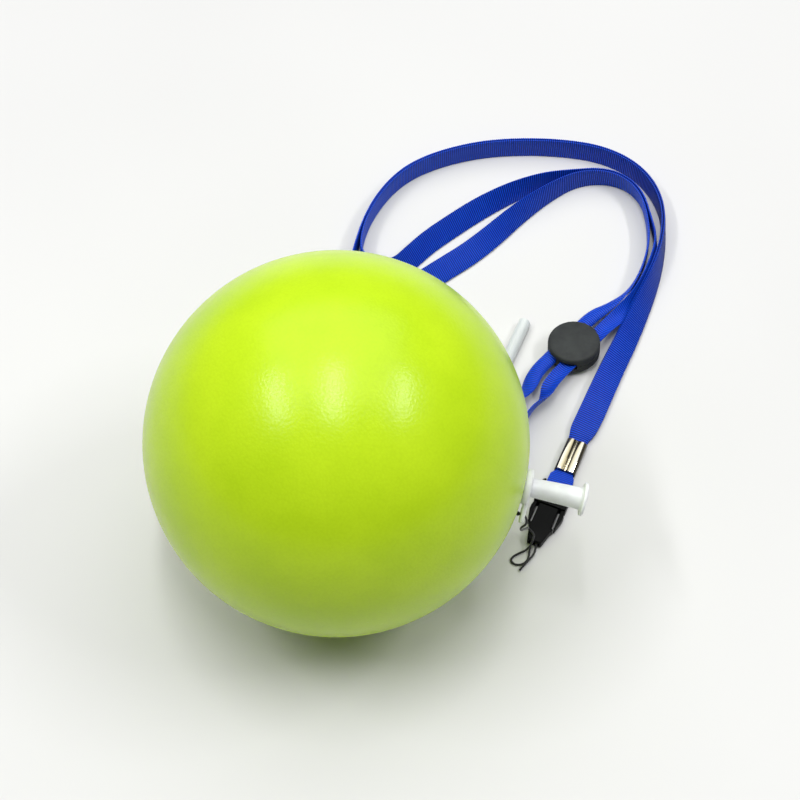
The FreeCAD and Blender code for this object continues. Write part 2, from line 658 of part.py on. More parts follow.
def neck_strap(name, rows):
    """Half of the woven strap: a flat ribbon on a route of runs and tangent arcs."""
    points = [Vector(*row[:3]) for row in rows]
    rolls = [row[3] for row in rows]
    shares = [row[4] for row in rows]
    print_radii(name, points)
    sections = []
    areas = []
    for spot, direction, place in stations(points):
        normal, width = face_normal(direction, between(rolls, place))
        half = width * (size("strap_width") * between(shares, place) / 2)
        thick = normal * (size("strap_thickness") / 2)
        corners = [spot + half + thick, spot - half + thick, spot - half - thick, spot + half - thick]
        sections.append(Part.makePolygon(corners + corners[:1]))
        areas.append((spot, 4 * half.Length * thick.Length))
    solid = Part.makeLoft(sections, True, True)
    expected = sum((b[0] - a[0]).Length * (a[1] + b[1]) / 2 for a, b in zip(areas, areas[1:]))
    length = sum((b[0] - a[0]).Length for a, b in zip(areas, areas[1:]))
    print(name, "length %.1f mm, volume %.1f of %.1f" % (length, solid.Volume, expected))
    item = doc.addObject("Part::Feature", name)
    item.Shape = solid
    return item


def strap_end_loop():
    """Short strap loop from inside the crimp round the buckle's bar and back."""
    thick = size("strap_thickness")
    level = size("buckle_thickness") / 2
    middle = size("crimp_level")
    inner_radius = size("bar_radius") + 0.15
    inner_gap = size("strap_gap") / 2
    start = size("crimp_start") + size("crimp_length") / 2 - 0.4
    bar = size("bar_place")
    bend = size("crimp_start") - 0.5

    def teardrop(radius, gap, end):
        top = Vector(bar, level + radius, 0)
        bottom = Vector(bar, level - radius, 0)
        round_end = Part.Arc(bottom, Vector(bar - radius, level, 0), top).toShape()
        upper = [top, Vector(bend, middle + gap, 0), Vector(end, middle + gap, 0)]
        lower = [Vector(end, middle - gap, 0), Vector(bend, middle - gap, 0), bottom]
        sides = Part.makePolygon(upper + lower).Edges
        return Part.Wire(Part.__sortEdges__([round_end] + sides))

    outer = Part.Face(teardrop(inner_radius + thick, inner_gap + thick, start))
    hollow = Part.Face(teardrop(inner_radius, inner_gap, start + 1))
    wide = size("strap_width") - 0.5
    band = outer.cut(hollow).extrude(Vector(0, 0, wide))
    narrow = size("strap_width") * (size("gathered_share") - 0.02)
    plan = [(bar - 4, wide / 2), (bar + 2, wide / 2), (bend - 0.5, narrow / 2), (start + 1, narrow / 2)]
    ring = [Vector(a, 0, b) for a, b in plan] + [Vector(a, 0, -b) for a, b in reversed(plan)]
    taper = Part.Face(Part.makePolygon(ring + ring[:1])).extrude(Vector(0, 10, 0))
    band.translate(Vector(0, 0, -wide / 2))
    item = doc.addObject("Part::Feature", "strap_end_loop")
    item.Shape = band.common(taper)
    return item


def tether_cord():
    """Thin round cord: straight runs joined by tangent arcs."""
    points = [Vector(*row) for row in TETHER]
    print_radii("tether_cord", points)
    edges = []
    start = points[0]
    for k, (trim, turn) in enumerate(bends(points), start=1):
        here = points[k]
        towards = (here - points[k - 1]).normalize()
        onwards = (points[k + 1] - here).normalize()
        radius = trim / math.tan(turn / 2)
        inwards = (onwards - towards).normalize()
        arc_start = here - towards * trim
        arc_end = here + onwards * trim
        arc_middle = here + inwards * (radius / math.cos(turn / 2) - radius)
        edges.append(Part.LineSegment(start, arc_start).toShape())
        edges.append(Part.Arc(arc_start, arc_middle, arc_end).toShape())
        start = arc_end
    edges.append(Part.LineSegment(start, points[-1]).toShape())
    path = Part.Wire(edges)
    radius = size("tether_diameter") / 2
    ring = Part.Wire([Part.makeCircle(radius, points[0], points[1] - points[0])])
    solid = path.makePipeShell([ring], True, False)
    section = math.pi * radius * radius
    print("tether_cord length %.1f mm, volume %.2f of %.2f"
          % (path.Length, solid.Volume, section * path.Length))
    item = doc.addObject("Part::Feature", "tether_cord")
    item.Shape = solid
    return item


def tether_knot():
    """Stopper knot between the ball and the lug."""
    knot = primitive("Sphere", "tether_knot", Radius="Sizes.knot_radius")
    under_lug = size("lug_bottom") - size("knot_radius") - 0.05
    knot.Placement.Base = Vector(0, -size("eyelet_offset"), under_lug)
    return knot


# ---------------------------------------------------------------- the assembly
def carried(placement, item):
    """Move a finished piece from its own frame to its place in the assembly."""
    doc.recompute()
    item.Placement = placement.multiply(item.Placement)
    return item


at_valve = valve_frame()
at_buckle = buckle_frame()
at_slider = slider_frame()
across = at_buckle.Rotation.multVec(Vector(1, 0, 0))
along = at_buckle.Rotation.multVec(Vector(0, 1, 0))
crimp_end = BUCKLE_TIP + along * (size("crimp_start") + size("crimp_length"))
straw_base = STRAW_TIP + UP * (size("straw_diameter") / 2)

pieces = [
    carried(at_valve, ball_shell()),
    carried(at_valve, valve_seat()),
    carried(at_valve, valve_plug()),
    carried(frame(straw_base, unit(STRAW_BEARING), UP.cross(unit(STRAW_BEARING))), inflation_straw()),
    neck_strap("neck_strap_left", layer_route(1) + LEFT_RETURN),
    neck_strap("neck_strap_right", layer_route(-1) + RIGHT_RETURN),
    carried(frame(BUCKLE_TIP, along, UP), strap_end_loop()),
    carried(frame(crimp_end, across, UP), strap_crimp()),
    carried(at_slider, slider_half("slider_cap", 1)),
    carried(at_slider, slider_half("slider_base", -1)),
    carried(at_buckle, buckle_socket()),
    carried(at_buckle, buckle_insert()),
    carried(at_buckle, release_arm("release_arm_left", -1)),
    carried(at_buckle, release_arm("release_arm_right", 1)),
    tether_cord(),
    carried(at_valve, tether_knot()),
]
doc.recompute()

for item in doc.Objects:
    if "Invalid" in item.State or "Error" in item.State:
        raise RuntimeError("%s did not recompute: %s" % (item.Name, item.State))
os.makedirs("parts", exist_ok=True)
for item in pieces:
    item.Label = item.Name
    if item.Shape.isNull() or not item.Shape.isValid() or not item.Shape.Solids:
        raise RuntimeError("%s has no valid solid" % item.Label)
    box = item.Shape.BoundBox
    print("%-18s solids %d volume %9.1f  x %.1f..%.1f y %.1f..%.1f z %.2f..%.2f"
          % (item.Label, len(item.Shape.Solids), item.Shape.Volume,
             box.XMin, box.XMax, box.YMin, box.YMax, box.ZMin, box.ZMax))
for item in pieces:
    item.Shape.exportStep("parts/" + item.Label + ".step")
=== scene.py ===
import json
import math

import bpy
import numpy as np
from mathutils import Matrix, Vector


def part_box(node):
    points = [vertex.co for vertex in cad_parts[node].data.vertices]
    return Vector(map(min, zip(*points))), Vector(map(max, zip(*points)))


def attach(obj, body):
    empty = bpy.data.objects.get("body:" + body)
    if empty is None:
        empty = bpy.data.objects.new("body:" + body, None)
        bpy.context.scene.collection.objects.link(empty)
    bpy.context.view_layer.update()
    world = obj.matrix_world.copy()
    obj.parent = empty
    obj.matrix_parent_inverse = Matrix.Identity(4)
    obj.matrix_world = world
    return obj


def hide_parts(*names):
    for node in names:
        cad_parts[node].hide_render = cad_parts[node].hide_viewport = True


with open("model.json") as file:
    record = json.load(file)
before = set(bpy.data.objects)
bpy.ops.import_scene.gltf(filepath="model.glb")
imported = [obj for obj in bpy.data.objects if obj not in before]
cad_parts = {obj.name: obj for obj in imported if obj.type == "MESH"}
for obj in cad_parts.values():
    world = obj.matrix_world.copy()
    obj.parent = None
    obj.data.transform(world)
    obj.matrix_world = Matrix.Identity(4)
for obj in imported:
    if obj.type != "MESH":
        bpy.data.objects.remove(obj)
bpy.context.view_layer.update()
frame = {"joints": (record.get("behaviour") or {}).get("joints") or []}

# A soft inflatable posture ball on an adjustable neck lanyard, lying on a floor.
# Metres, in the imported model's own frame: +Z up, origin where the ball rests.

MM = 0.001
UP = Vector((0, 0, 1))

# ---------------------------------------------------------------- places from the frame
JOINTS = {joint["name"]: joint for joint in frame["joints"]}


def box_of(node):
    """Lowest corner, highest corner and middle of a CAD node."""
    low, high = (Vector(corner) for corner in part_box(node))
    return low, high, (low + high) / 2


def axes(base, x_axis, y_axis):
    """Matrix of a local frame with its origin at base."""
    z_axis = x_axis.cross(y_axis)
    columns = [x_axis.normalized(), y_axis.normalized(), z_axis.normalized()]
    turn = Matrix([[column[row] for column in columns] for row in range(3)]).to_4x4()
    return Matrix.Translation(base) @ turn


BALL_LOW, BALL_HIGH, BALL_CENTRE = box_of("ball_shell")
BALL_RADIUS = 80 * MM
VALVE_AXIS = Vector(JOINTS["plug_pull"]["axis"]).normalized()
LUG_LEAN = math.radians(41.0)
LEVEL = UP.cross(VALVE_AXIS).normalized()
AWAY_FROM_LUG = VALVE_AXIS.cross(LEVEL) * math.cos(LUG_LEAN) + LEVEL * math.sin(LUG_LEAN)
AT_VALVE = axes(BALL_CENTRE + VALVE_AXIS * BALL_RADIUS, AWAY_FROM_LUG.cross(VALVE_AXIS), AWAY_FROM_LUG)

ALONG = Vector(JOINTS["buckle_release"]["axis"]).normalized()
BUCKLE_TIP = Vector((86.7, -5.7, 0.0)) * MM
AT_BUCKLE = axes(BUCKLE_TIP, ALONG.cross(UP), ALONG)

STRAP_LINE = Vector(JOINTS["strap_adjust"]["axis"]).normalized()
SLIDER_CENTRE = Vector((110.4, 99.7, 6.8)) * MM
SLIDER_TILT = math.radians(5.0)
SLIDER_ACROSS = UP.cross(STRAP_LINE) * math.cos(SLIDER_TILT) - UP * math.sin(SLIDER_TILT)
AT_SLIDER = axes(SLIDER_CENTRE, STRAP_LINE, SLIDER_ACROSS)

STRAW_OUT = Vector(JOINTS["straw_slide"]["axis"]).normalized()
STRAW_TIP = Vector((87.6, 117.0, 3.0)) * MM

# ---------------------------------------------------------------- camera, light, floor
CAMERA_ELEVATION = math.radians(57.0)
CAMERA_DISTANCE = 0.700
CAMERA_ASIDE = 26.2 * MM
CAMERA_LIFT = 17.9 * MM
LENS_MM = 75.8


def camera():
    """Camera looking down on the ball from the front, square to the floor's X."""
    sight = Vector((0, math.cos(CAMERA_ELEVATION), -math.sin(CAMERA_ELEVATION)))
    upwards = Vector((0, math.sin(CAMERA_ELEVATION), math.cos(CAMERA_ELEVATION)))
    data = bpy.data.cameras.new("camera")
    data.lens = LENS_MM
    data.clip_start = 0.05
    data.clip_end = 20
    seat = bpy.data.objects.new("camera", data)
    seat.location = BALL_CENTRE - sight * CAMERA_DISTANCE + upwards * CAMERA_LIFT
    seat.location.x += CAMERA_ASIDE
    seat.rotation_euler = (math.pi / 2 - CAMERA_ELEVATION, 0, 0)
    bpy.context.scene.collection.objects.link(seat)
    bpy.context.scene.camera = seat


def area_light(name, place, aim, size, power):
    """Rectangular soft light at a place, turned towards a point."""
    data = bpy.data.lights.new(name, "AREA")
    data.shape = "RECTANGLE"
    data.size = size[0]
    data.size_y = size[1]
    data.energy = power
    lamp = bpy.data.objects.new(name, data)
    lamp.location = place
    lamp.rotation_euler = (Vector(place) - Vector(aim)).to_track_quat("Z", "Y").to_euler()
    bpy.context.scene.collection.objects.link(lamp)
    return lamp


def lighting():
    """Three long lamps in a row over the ball, a large soft fill and a pale surround."""
    ball = (0, 0, 0.08)
    lamp_height = 1.75
    for name, x, y, size, power in (("left_lamp", -1.02, -0.10, (0.9, 0.12), 11.0),
                                    ("middle_lamp", 0.0, -0.09, (0.14, 0.9), 10.0),
                                    ("right_lamp", 1.30, 0.02, (0.9, 0.14), 12.5)):
        area_light(name, (x, y, lamp_height), ball, size, power)
    area_light("roof_fill", (0.0, 1.1, 2.8), (0.05, 0.05, 0), (4.0, 4.0), 84.0)
    world = bpy.data.worlds.new("studio")
    bpy.context.scene.world = world
    world.use_nodes = True
    background = world.node_tree.nodes["Background"]
    background.inputs["Color"].default_value = (1.0, 1.0, 1.0, 1.0)
    background.inputs["Strength"].default_value = 0.14
    bpy.context.scene.view_settings.view_transform = "Standard"


# ---------------------------------------------------------------- material helpers
def linear(code):
    """sRGB hex code to a linear RGBA tuple."""
    parts = [int(code[k:k + 2], 16) / 255 for k in (1, 3, 5)]
    return tuple(c / 12.92 if c <= 0.04045 else ((c + 0.055) / 1.055) ** 2.4 for c in parts) + (1.0,)


def add(tree, kind, settings=None, links=None):
    """Add a node, set its properties and sockets, and link its inputs."""
    node = tree.nodes.new("ShaderNode" + kind)
    for key, value in (settings or {}).items():
        if isinstance(key, str) and hasattr(node, key):
            setattr(node, key, value)
        else:
            node.inputs[key].default_value = value
    for key, source in (links or {}).items():
        tree.links.new(source, node.inputs[key])
    return node


def new_material(name):
    """Empty node material with a Principled shader on its output."""
    material = bpy.data.materials.new(name)
    material.use_nodes = True
    tree = material.node_tree
    tree.nodes.clear()
    shader = add(tree, "BsdfPrincipled")
    add(tree, "OutputMaterial", links={"Surface": shader.outputs[0]})
    return material, tree, shader


def set_inputs(shader, values):
    """Set uniform values on the shader's own sockets."""
    for key, value in values.items():
        shader.inputs[key].default_value = value


def ramp(tree, factor, low, high, low_at=0.0, high_at=1.0):
    """Colour ramp between two colours."""
    node = add(tree, "ValToRGB", links={"Fac": factor})
    node.color_ramp.elements[0].position = low_at
    node.color_ramp.elements[0].color = low
    node.color_ramp.elements[1].position = high_at
    node.color_ramp.elements[1].color = high
    return node


PEBBLE_MM = 1.1
GRIT_MM = 0.45


def pebbled_pvc():
    """Blown soft PVC from a grained mould: a fine pebble that breaks up every highlight."""
    material, tree, shader = new_material("lime_pebbled_pvc")
    place = add(tree, "TexCoord").outputs["Object"]
    patch = add(tree, "TexNoise", {"Scale": 1 / (34 * MM), "Detail": 3.0, "Roughness": 0.55},
                {"Vector": place})
    tint = ramp(tree, patch.outputs["Fac"], linear("#aed016"), linear("#bada1e"), 0.3, 0.7)
    pebble = add(tree, "TexVoronoi",
                 {"Scale": 1 / (PEBBLE_MM * MM), "feature": "SMOOTH_F1", "Smoothness": 0.6},
                 {"Vector": place})
    grit = add(tree, "TexNoise", {"Scale": 1 / (GRIT_MM * MM), "Detail": 2.0}, {"Vector": place})
    # Darker towards the edges of each pebble cell: painted shade in the hollows between the pebbles.
    pebble_hollow_shade = add(tree, "MixRGB", {"blend_type": "MULTIPLY", "Fac": 0.07},
                {"Color1": tint.outputs["Color"],
                 "Color2": ramp(tree, pebble.outputs["Distance"], linear("#ffffff"), linear("#93a41e"),
                                0.25, 0.85).outputs["Color"]})
    tree.links.new(pebble_hollow_shade.outputs["Color"], shader.inputs["Base Color"])
    gloss = add(tree, "MapRange", {"To Min": 0.2, "To Max": 0.3}, {"Value": grit.outputs["Fac"]})
    tree.links.new(gloss.outputs["Result"], shader.inputs["Roughness"])
    coarse = add(tree, "Bump", {"Strength": 0.5, "Distance": 0.1 * MM, "invert": True},
                 {"Height": pebble.outputs["Distance"]})
    fine = add(tree, "Bump", {"Strength": 0.3, "Distance": 0.05 * MM},
               {"Height": grit.outputs["Fac"], "Normal": coarse.outputs["Normal"]})
    tree.links.new(fine.outputs["Normal"], shader.inputs["Normal"])
    set_inputs(shader, {"IOR": 1.46, "Specular IOR Level": 0.28, "Subsurface Weight": 0.12,
                        "Subsurface Scale": 4 * MM, "Subsurface Radius": (1.0, 1.0, 0.25)})
    return material


def milky_polyethylene():
    """Moulded low-density polyethylene: waxy, milky and slightly see-through at thin edges."""
    material, tree, shader = new_material("milky_polyethylene")
    place = add(tree, "TexCoord").outputs["Object"]
    cloud = add(tree, "TexNoise", {"Scale": 1 / (6 * MM), "Detail": 3.0}, {"Vector": place})
    tint = ramp(tree, cloud.outputs["Fac"], linear("#d6d8da"), linear("#e0e3e4"), 0.35, 0.65)
    tree.links.new(tint.outputs["Color"], shader.inputs["Base Color"])
    scuff = add(tree, "TexNoise", {"Scale": 1 / (0.5 * MM), "Detail": 2.0}, {"Vector": place})
    bump = add(tree, "Bump", {"Strength": 0.15, "Distance": 0.04 * MM}, {"Height": scuff.outputs["Fac"]})
    tree.links.new(bump.outputs["Normal"], shader.inputs["Normal"])
    gloss = add(tree, "MapRange", {"To Min": 0.34, "To Max": 0.5}, {"Value": cloud.outputs["Fac"]})
    tree.links.new(gloss.outputs["Result"], shader.inputs["Roughness"])
    set_inputs(shader, {"IOR": 1.51, "Subsurface Weight": 0.55, "Subsurface Scale": 3 * MM,
                        "Subsurface Radius": (1.0, 1.0, 1.0)})
    return material


def straw_polypropylene():
    """Extruded polypropylene tube: thin, white, with faint lines drawn along it."""
    material, tree, shader = new_material("straw_polypropylene")
    place = add(tree, "TexCoord").outputs["UV"]
    lines = add(tree, "TexNoise", {"Scale": 1.0, "Detail": 2.0},
                {"Vector": add(tree, "Mapping", {"Scale": (20.0, 2600.0, 1.0)},
                               {"Vector": place}).outputs[0]})
    tint = ramp(tree, lines.outputs["Fac"], linear("#c2cac8"), linear("#dbe1df"), 0.3, 0.7)
    tree.links.new(tint.outputs["Color"], shader.inputs["Base Color"])
    bump = add(tree, "Bump", {"Strength": 0.12, "Distance": 0.03 * MM}, {"Height": lines.outputs["Fac"]})
    tree.links.new(bump.outputs["Normal"], shader.inputs["Normal"])
    set_inputs(shader, {"Roughness": 0.36, "IOR": 1.49, "Subsurface Weight": 0.4, "Subsurface Scale": 2 * MM,
                        "Subsurface Radius": (1.0, 1.0, 1.0)})
    return material


RIB_MM = 1.1
YARN_MM = 0.42


def ribbed_polyester():
    """Woven polyester webbing: cross ribs, fine warp yarns and a silky sheen."""
    material, tree, shader = new_material("ribbed_polyester")
    place = add(tree, "TexCoord").outputs["UV"]
    parts = add(tree, "SeparateXYZ", links={"Vector": place})
    yarns = add(tree, "Math", {"operation": "SINE"}, {0: add(
        tree, "Math", {"operation": "MULTIPLY", 1: 2 * math.pi / (YARN_MM * MM)},
        {0: parts.outputs["Y"]}).outputs[0]})
    ribs = add(tree, "Math", {"operation": "SINE"}, {0: add(
        tree, "Math", {"operation": "MULTIPLY", 1: 2 * math.pi / (RIB_MM * MM)},
        {0: parts.outputs["X"]}).outputs[0]})
    valleys = add(tree, "MapRange", {"From Min": -1.0, "To Min": 0.0, "To Max": 1.0},
                  {"Value": ribs.outputs[0]})
    # The ramp is dark in the rib valleys and lighter on the crests, in step with the rib bump: painted shade
    # in the valleys.
    tint = ramp(tree, valleys.outputs["Result"], linear("#021560"), linear("#0a4cda"), 0.05, 0.85)
    wear = add(tree, "TexNoise", {"Scale": 1 / (9 * MM), "Detail": 3.0},
               {"Vector": add(tree, "TexCoord").outputs["Object"]})
    mixed = add(tree, "MixRGB", {"blend_type": "MULTIPLY", "Fac": 0.35},
                {"Color1": tint.outputs["Color"],
                 "Color2": ramp(tree, wear.outputs["Fac"], linear("#b9c2e8"), linear("#ffffff"),
                                0.3, 0.7).outputs["Color"]})
    tree.links.new(mixed.outputs["Color"], shader.inputs["Base Color"])
    rib_bump = add(tree, "Bump", {"Strength": 0.8, "Distance": 0.14 * MM},
                   {"Height": valleys.outputs["Result"]})
    yarn_bump = add(tree, "Bump", {"Strength": 0.35, "Distance": 0.04 * MM},
                    {"Height": yarns.outputs[0], "Normal": rib_bump.outputs["Normal"]})
    tree.links.new(yarn_bump.outputs["Normal"], shader.inputs["Normal"])
    set_inputs(shader, {"Roughness": 0.46, "IOR": 1.5, "Sheen Weight": 0.1, "Sheen Roughness": 0.4,
                        "Sheen Tint": linear("#6f9cff"), "Specular IOR Level": 0.2})
    return material


# Across the crimp: painted reflection bands, light on the ridges; the dark bands on both cut sides and in the
# two fold lines beside the middle are partly tarnish and partly painted shade.
NICKEL_TARNISH_SHADE_AND_REFLECTION_BANDS = ((0.0, "#2a261f"), (1.0, "#2a261f"), (0.06, "#575142"), (0.13, "#dad6c6"), (0.3, "#b5ac8e"),
                (0.385, "#37311f"), (0.44, "#c9c1a6"), (0.52, "#dcd8c8"), (0.6, "#37311f"), (0.68, "#bfb89f"),
                (0.86, "#dad6c6"), (0.94, "#6a604c"))


def nickel_plate():
    """Bright nickel on folded sheet steel: mirror-like, a touch warm, with fine scuffs and painted reflection
    bands across it.
    """
    material, tree, shader = new_material("nickel_plate")
    place = add(tree, "TexCoord").outputs["Object"]
    scuff = add(tree, "TexNoise", {"Scale": 1 / (0.8 * MM), "Detail": 4.0}, {"Vector": place})
    gloss = add(tree, "MapRange", {"To Min": 0.07, "To Max": 0.14}, {"Value": scuff.outputs["Fac"]})
    tree.links.new(gloss.outputs["Result"], shader.inputs["Roughness"])
    turn = math.atan2(ALONG.y, ALONG.x) - math.pi / 2
    across = add(tree, "VectorRotate",
                 {"rotation_type": "Z_AXIS", "Center": tuple(BUCKLE_TIP), "Angle": -turn},
                 {"Vector": place})
    side = add(tree, "SeparateXYZ", links={"Vector": across.outputs[0]}).outputs["X"]
    share = add(tree, "MapRange",
                {"From Min": BUCKLE_TIP.x - 4.85 * MM, "From Max": BUCKLE_TIP.x + 4.85 * MM},
                {"Value": side})
    # This ramp paints reflections as light bands and shade as dark bands across the crimp; the dark bands are
    # partly tarnish.
    tint = add(tree, "ValToRGB", links={"Fac": share.outputs["Result"]})
    for k, (stop, colour) in enumerate(NICKEL_TARNISH_SHADE_AND_REFLECTION_BANDS):
        element = tint.color_ramp.elements[k] if k < 2 else tint.color_ramp.elements.new(stop)
        element.position = stop
        element.color = linear(colour)
    tree.links.new(tint.outputs["Color"], shader.inputs["Base Color"])
    set_inputs(shader, {"Metallic": 1.0})
    return material


def moulded_black(name, colour_low, colour_high, roughness, grain_mm, level):
    """Injection-moulded acetal from a spark-eroded mould: fine even grain on black."""
    material, tree, shader = new_material(name)
    place = add(tree, "TexCoord").outputs["Object"]
    grain = add(tree, "TexNoise", {"Scale": 1 / (grain_mm * MM), "Detail": 2.0}, {"Vector": place})
    patch = add(tree, "TexNoise", {"Scale": 1 / (5 * MM), "Detail": 3.0}, {"Vector": place})
    tint = ramp(tree, patch.outputs["Fac"], linear(colour_low), linear(colour_high), 0.3, 0.7)
    tree.links.new(tint.outputs["Color"], shader.inputs["Base Color"])
    gloss = add(tree, "MapRange", {"To Min": roughness - 0.06, "To Max": roughness + 0.08},
                {"Value": patch.outputs["Fac"]})
    tree.links.new(gloss.outputs["Result"], shader.inputs["Roughness"])
    bump = add(tree, "Bump", {"Strength": 0.3, "Distance": 0.03 * MM}, {"Height": grain.outputs["Fac"]})
    tree.links.new(bump.outputs["Normal"], shader.inputs["Normal"])
    set_inputs(shader, {"IOR": 1.48, "Specular IOR Level": level})
    return material


def braided_nylon():
    """Thin braided nylon cord: black, with the small diagonal steps of the braid."""
    material, tree, shader = new_material("braided_nylon")
    place = add(tree, "TexCoord").outputs["Object"]
    braid = add(tree, "TexVoronoi", {"Scale": 1 / (0.35 * MM)}, {"Vector": place})
    # Lighter on each braid step and darker between them: painted shade in the hollows of the braid.
    tint = ramp(tree, braid.outputs["Distance"], linear("#1c1c1f"), linear("#060607"), 0.1, 0.8)
    tree.links.new(tint.outputs["Color"], shader.inputs["Base Color"])
    bump = add(tree, "Bump", {"Strength": 0.6, "Distance": 0.06 * MM, "invert": True},
               {"Height": braid.outputs["Distance"]})
    tree.links.new(bump.outputs["Normal"], shader.inputs["Normal"])
    set_inputs(shader, {"Roughness": 0.62, "Sheen Weight": 0.2})
    return material


def pale_floor():
    """Matt white sweep under the object."""
    material, tree, shader = new_material("pale_floor")
    place = add(tree, "TexCoord").outputs["Object"]
    haze = add(tree, "TexNoise", {"Scale": 3.0, "Detail": 2.0}, {"Vector": place})
    tint = ramp(tree, haze.outputs["Fac"], linear("#d0d0cf"), linear("#d6d6d5"), 0.3, 0.7)
    tree.links.new(tint.outputs["Color"], shader.inputs["Base Color"])
    set_inputs(shader, {"Roughness": 0.9})
    return material


# ---------------------------------------------------------------- modelling helpers
def only(piece):
    """Deselect everything, then select and activate one object."""
    if bpy.context.mode != "OBJECT":
        bpy.ops.object.mode_set(mode="OBJECT")
    bpy.ops.object.select_all(action="DESELECT")
    bpy.context.view_layer.objects.active = piece
    piece.select_set(True)


def fresh(name):
    """Take the primitive that an operator has just added, and name it."""
    piece = bpy.context.active_object
    piece.name = name
    piece.data.name = name
    return piece


def settle(piece, matrix, material, angle=35.0):
    """Put a piece modelled in a local frame into its place and give it its finish."""
    only(piece)
    piece.matrix_world = matrix @ piece.matrix_world
    bpy.ops.object.transform_apply(location=True, rotation=True, scale=True)
    bpy.ops.object.shade_smooth_by_angle(angle=math.radians(angle))
    piece.data.materials.clear()
    piece.data.materials.append(material)
    return piece


def apply(piece, kind, **settings):
    """Add a modifier with its settings and apply it."""
    only(piece)
    modifier = piece.modifiers.new(kind.lower(), kind)
    for key, value in settings.items():
        setattr(modifier, key, value)
    bpy.ops.object.modifier_apply(modifier=modifier.name)


def select_where(piece, test):
    """In edit mode, select the faces whose centre and normal pass a test."""
    bpy.ops.object.mode_set(mode="OBJECT")
    for vertex in piece.data.vertices:
        vertex.select = False
    for edge in piece.data.edges:
        edge.select = False
    for face in piece.data.polygons:
        face.select = test(face.center, face.normal)
    bpy.ops.object.mode_set(mode="EDIT")


def turned(name, profile, steps=96):
    """Solid of revolution about local Z: a ring that is extruded and scaled up a profile."""
    bpy.ops.object.select_all(action="DESELECT")
    radius, height = profile[0]
    bpy.ops.mesh.primitive_circle_add(vertices=steps, radius=radius, location=(0, 0, height),
                                      fill_type="NGON")
    piece = fresh(name)
    bpy.ops.object.transform_apply(location=True, rotation=True, scale=True)
    bpy.ops.object.mode_set(mode="EDIT")
    bpy.ops.mesh.select_all(action="SELECT")
    for next_radius, next_height in profile[1:]:
        bpy.ops.mesh.extrude_region_move(TRANSFORM_OT_translate={"value": (0, 0, next_height - height)})
        share = next_radius / radius
        bpy.ops.transform.resize(value=(share, share, 1.0), center_override=(0, 0, next_height))
        radius, height = next_radius, next_height
    bpy.ops.mesh.select_all(action="SELECT")
    bpy.ops.mesh.normals_make_consistent(inside=False)
    bpy.ops.object.mode_set(mode="OBJECT")
    return piece


def plate(name, corners, low, high):
    """Flat plate: a polygon in local X and Y, extruded from low to high."""
    bpy.ops.object.select_all(action="DESELECT")
    bpy.ops.mesh.primitive_circle_add(vertices=len(corners), radius=MM, fill_type="NGON")
    piece = fresh(name)
    for vertex, (x, y) in zip(piece.data.vertices, corners):
        vertex.co = (x, y, low)
    only(piece)
    bpy.ops.object.mode_set(mode="EDIT")
    bpy.ops.mesh.select_all(action="SELECT")
    bpy.ops.mesh.extrude_region_move(TRANSFORM_OT_translate={"value": (0, 0, high - low)})
    bpy.ops.mesh.select_all(action="SELECT")
    bpy.ops.mesh.normals_make_consistent(inside=False)
    bpy.ops.object.mode_set(mode="OBJECT")
    return piece


def block(name, centre, size):
    """A box with the given centre and size in a local frame."""
    bpy.ops.object.select_all(action="DESELECT")
    bpy.ops.mesh.primitive_cube_add(size=1, location=centre)
    piece = fresh(name)
    piece.scale = size
    only(piece)
    bpy.ops.object.transform_apply(location=True, rotation=True, scale=True)
    return piece


def rod(name, centre, radius, length, axis="Z", vertices=48):
    """A round rod along a local axis."""
    turn = {"X": (0, math.pi / 2, 0), "Y": (math.pi / 2, 0, 0), "Z": (0, 0, 0)}[axis]
    bpy.ops.object.select_all(action="DESELECT")
    bpy.ops.mesh.primitive_cylinder_add(vertices=vertices, radius=radius, depth=length,
                                        location=centre, rotation=turn)
    piece = fresh(name)
    only(piece)
    bpy.ops.object.transform_apply(location=True, rotation=True, scale=True)
    return piece


def cut(piece, *tools):
    """Take tools out of a piece."""
    for tool in tools:
        apply(piece, "BOOLEAN", operation="DIFFERENCE", solver="EXACT", object=tool)
        bpy.data.objects.remove(tool)
    return piece


def join(piece, *others):
    """Unite other solids with a piece."""
    for other in others:
        apply(piece, "BOOLEAN", operation="UNION", solver="EXACT", object=other)
        bpy.data.objects.remove(other)
    return piece


def soften(piece, radius, segments=3, angle=30.0):
    """Round the sharp edges of a piece."""
    apply(piece, "BEVEL", width=radius, segments=segments, limit_method="ANGLE",
          angle_limit=math.radians(angle), harden_normals=False)
    return piece


# ---------------------------------------------------------------- ball, valve and plug
def ball(material):
    """Inflated skin: a smooth sphere, drawn in a little round the valve."""
    bpy.ops.object.select_all(action="DESELECT")
    bpy.ops.mesh.primitive_uv_sphere_add(segments=160, ring_count=96, radius=BALL_RADIUS,
                                         location=(0, 0, -BALL_RADIUS))
    piece = fresh("ball_skin")
    only(piece)
    bpy.ops.object.transform_apply(location=True, rotation=True, scale=True)
    hole = 5.9 * MM
    for vertex in piece.data.vertices:
        reach = math.hypot(vertex.co.x, vertex.co.y)
        if vertex.co.z > -BALL_RADIUS and reach < 22 * MM:
            vertex.co.z -= 0.5 * MM * math.exp(-(reach / (9 * MM)) ** 2)
    select_where(piece, lambda centre, normal: centre.z > -BALL_RADIUS
                 and math.hypot(centre.x, centre.y) < hole)
    bpy.ops.mesh.delete(type="FACE")
    bpy.ops.object.mode_set(mode="OBJECT")
    settle(piece, AT_VALVE, material, 60)
    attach(piece, "ball")
    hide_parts("ball_shell")


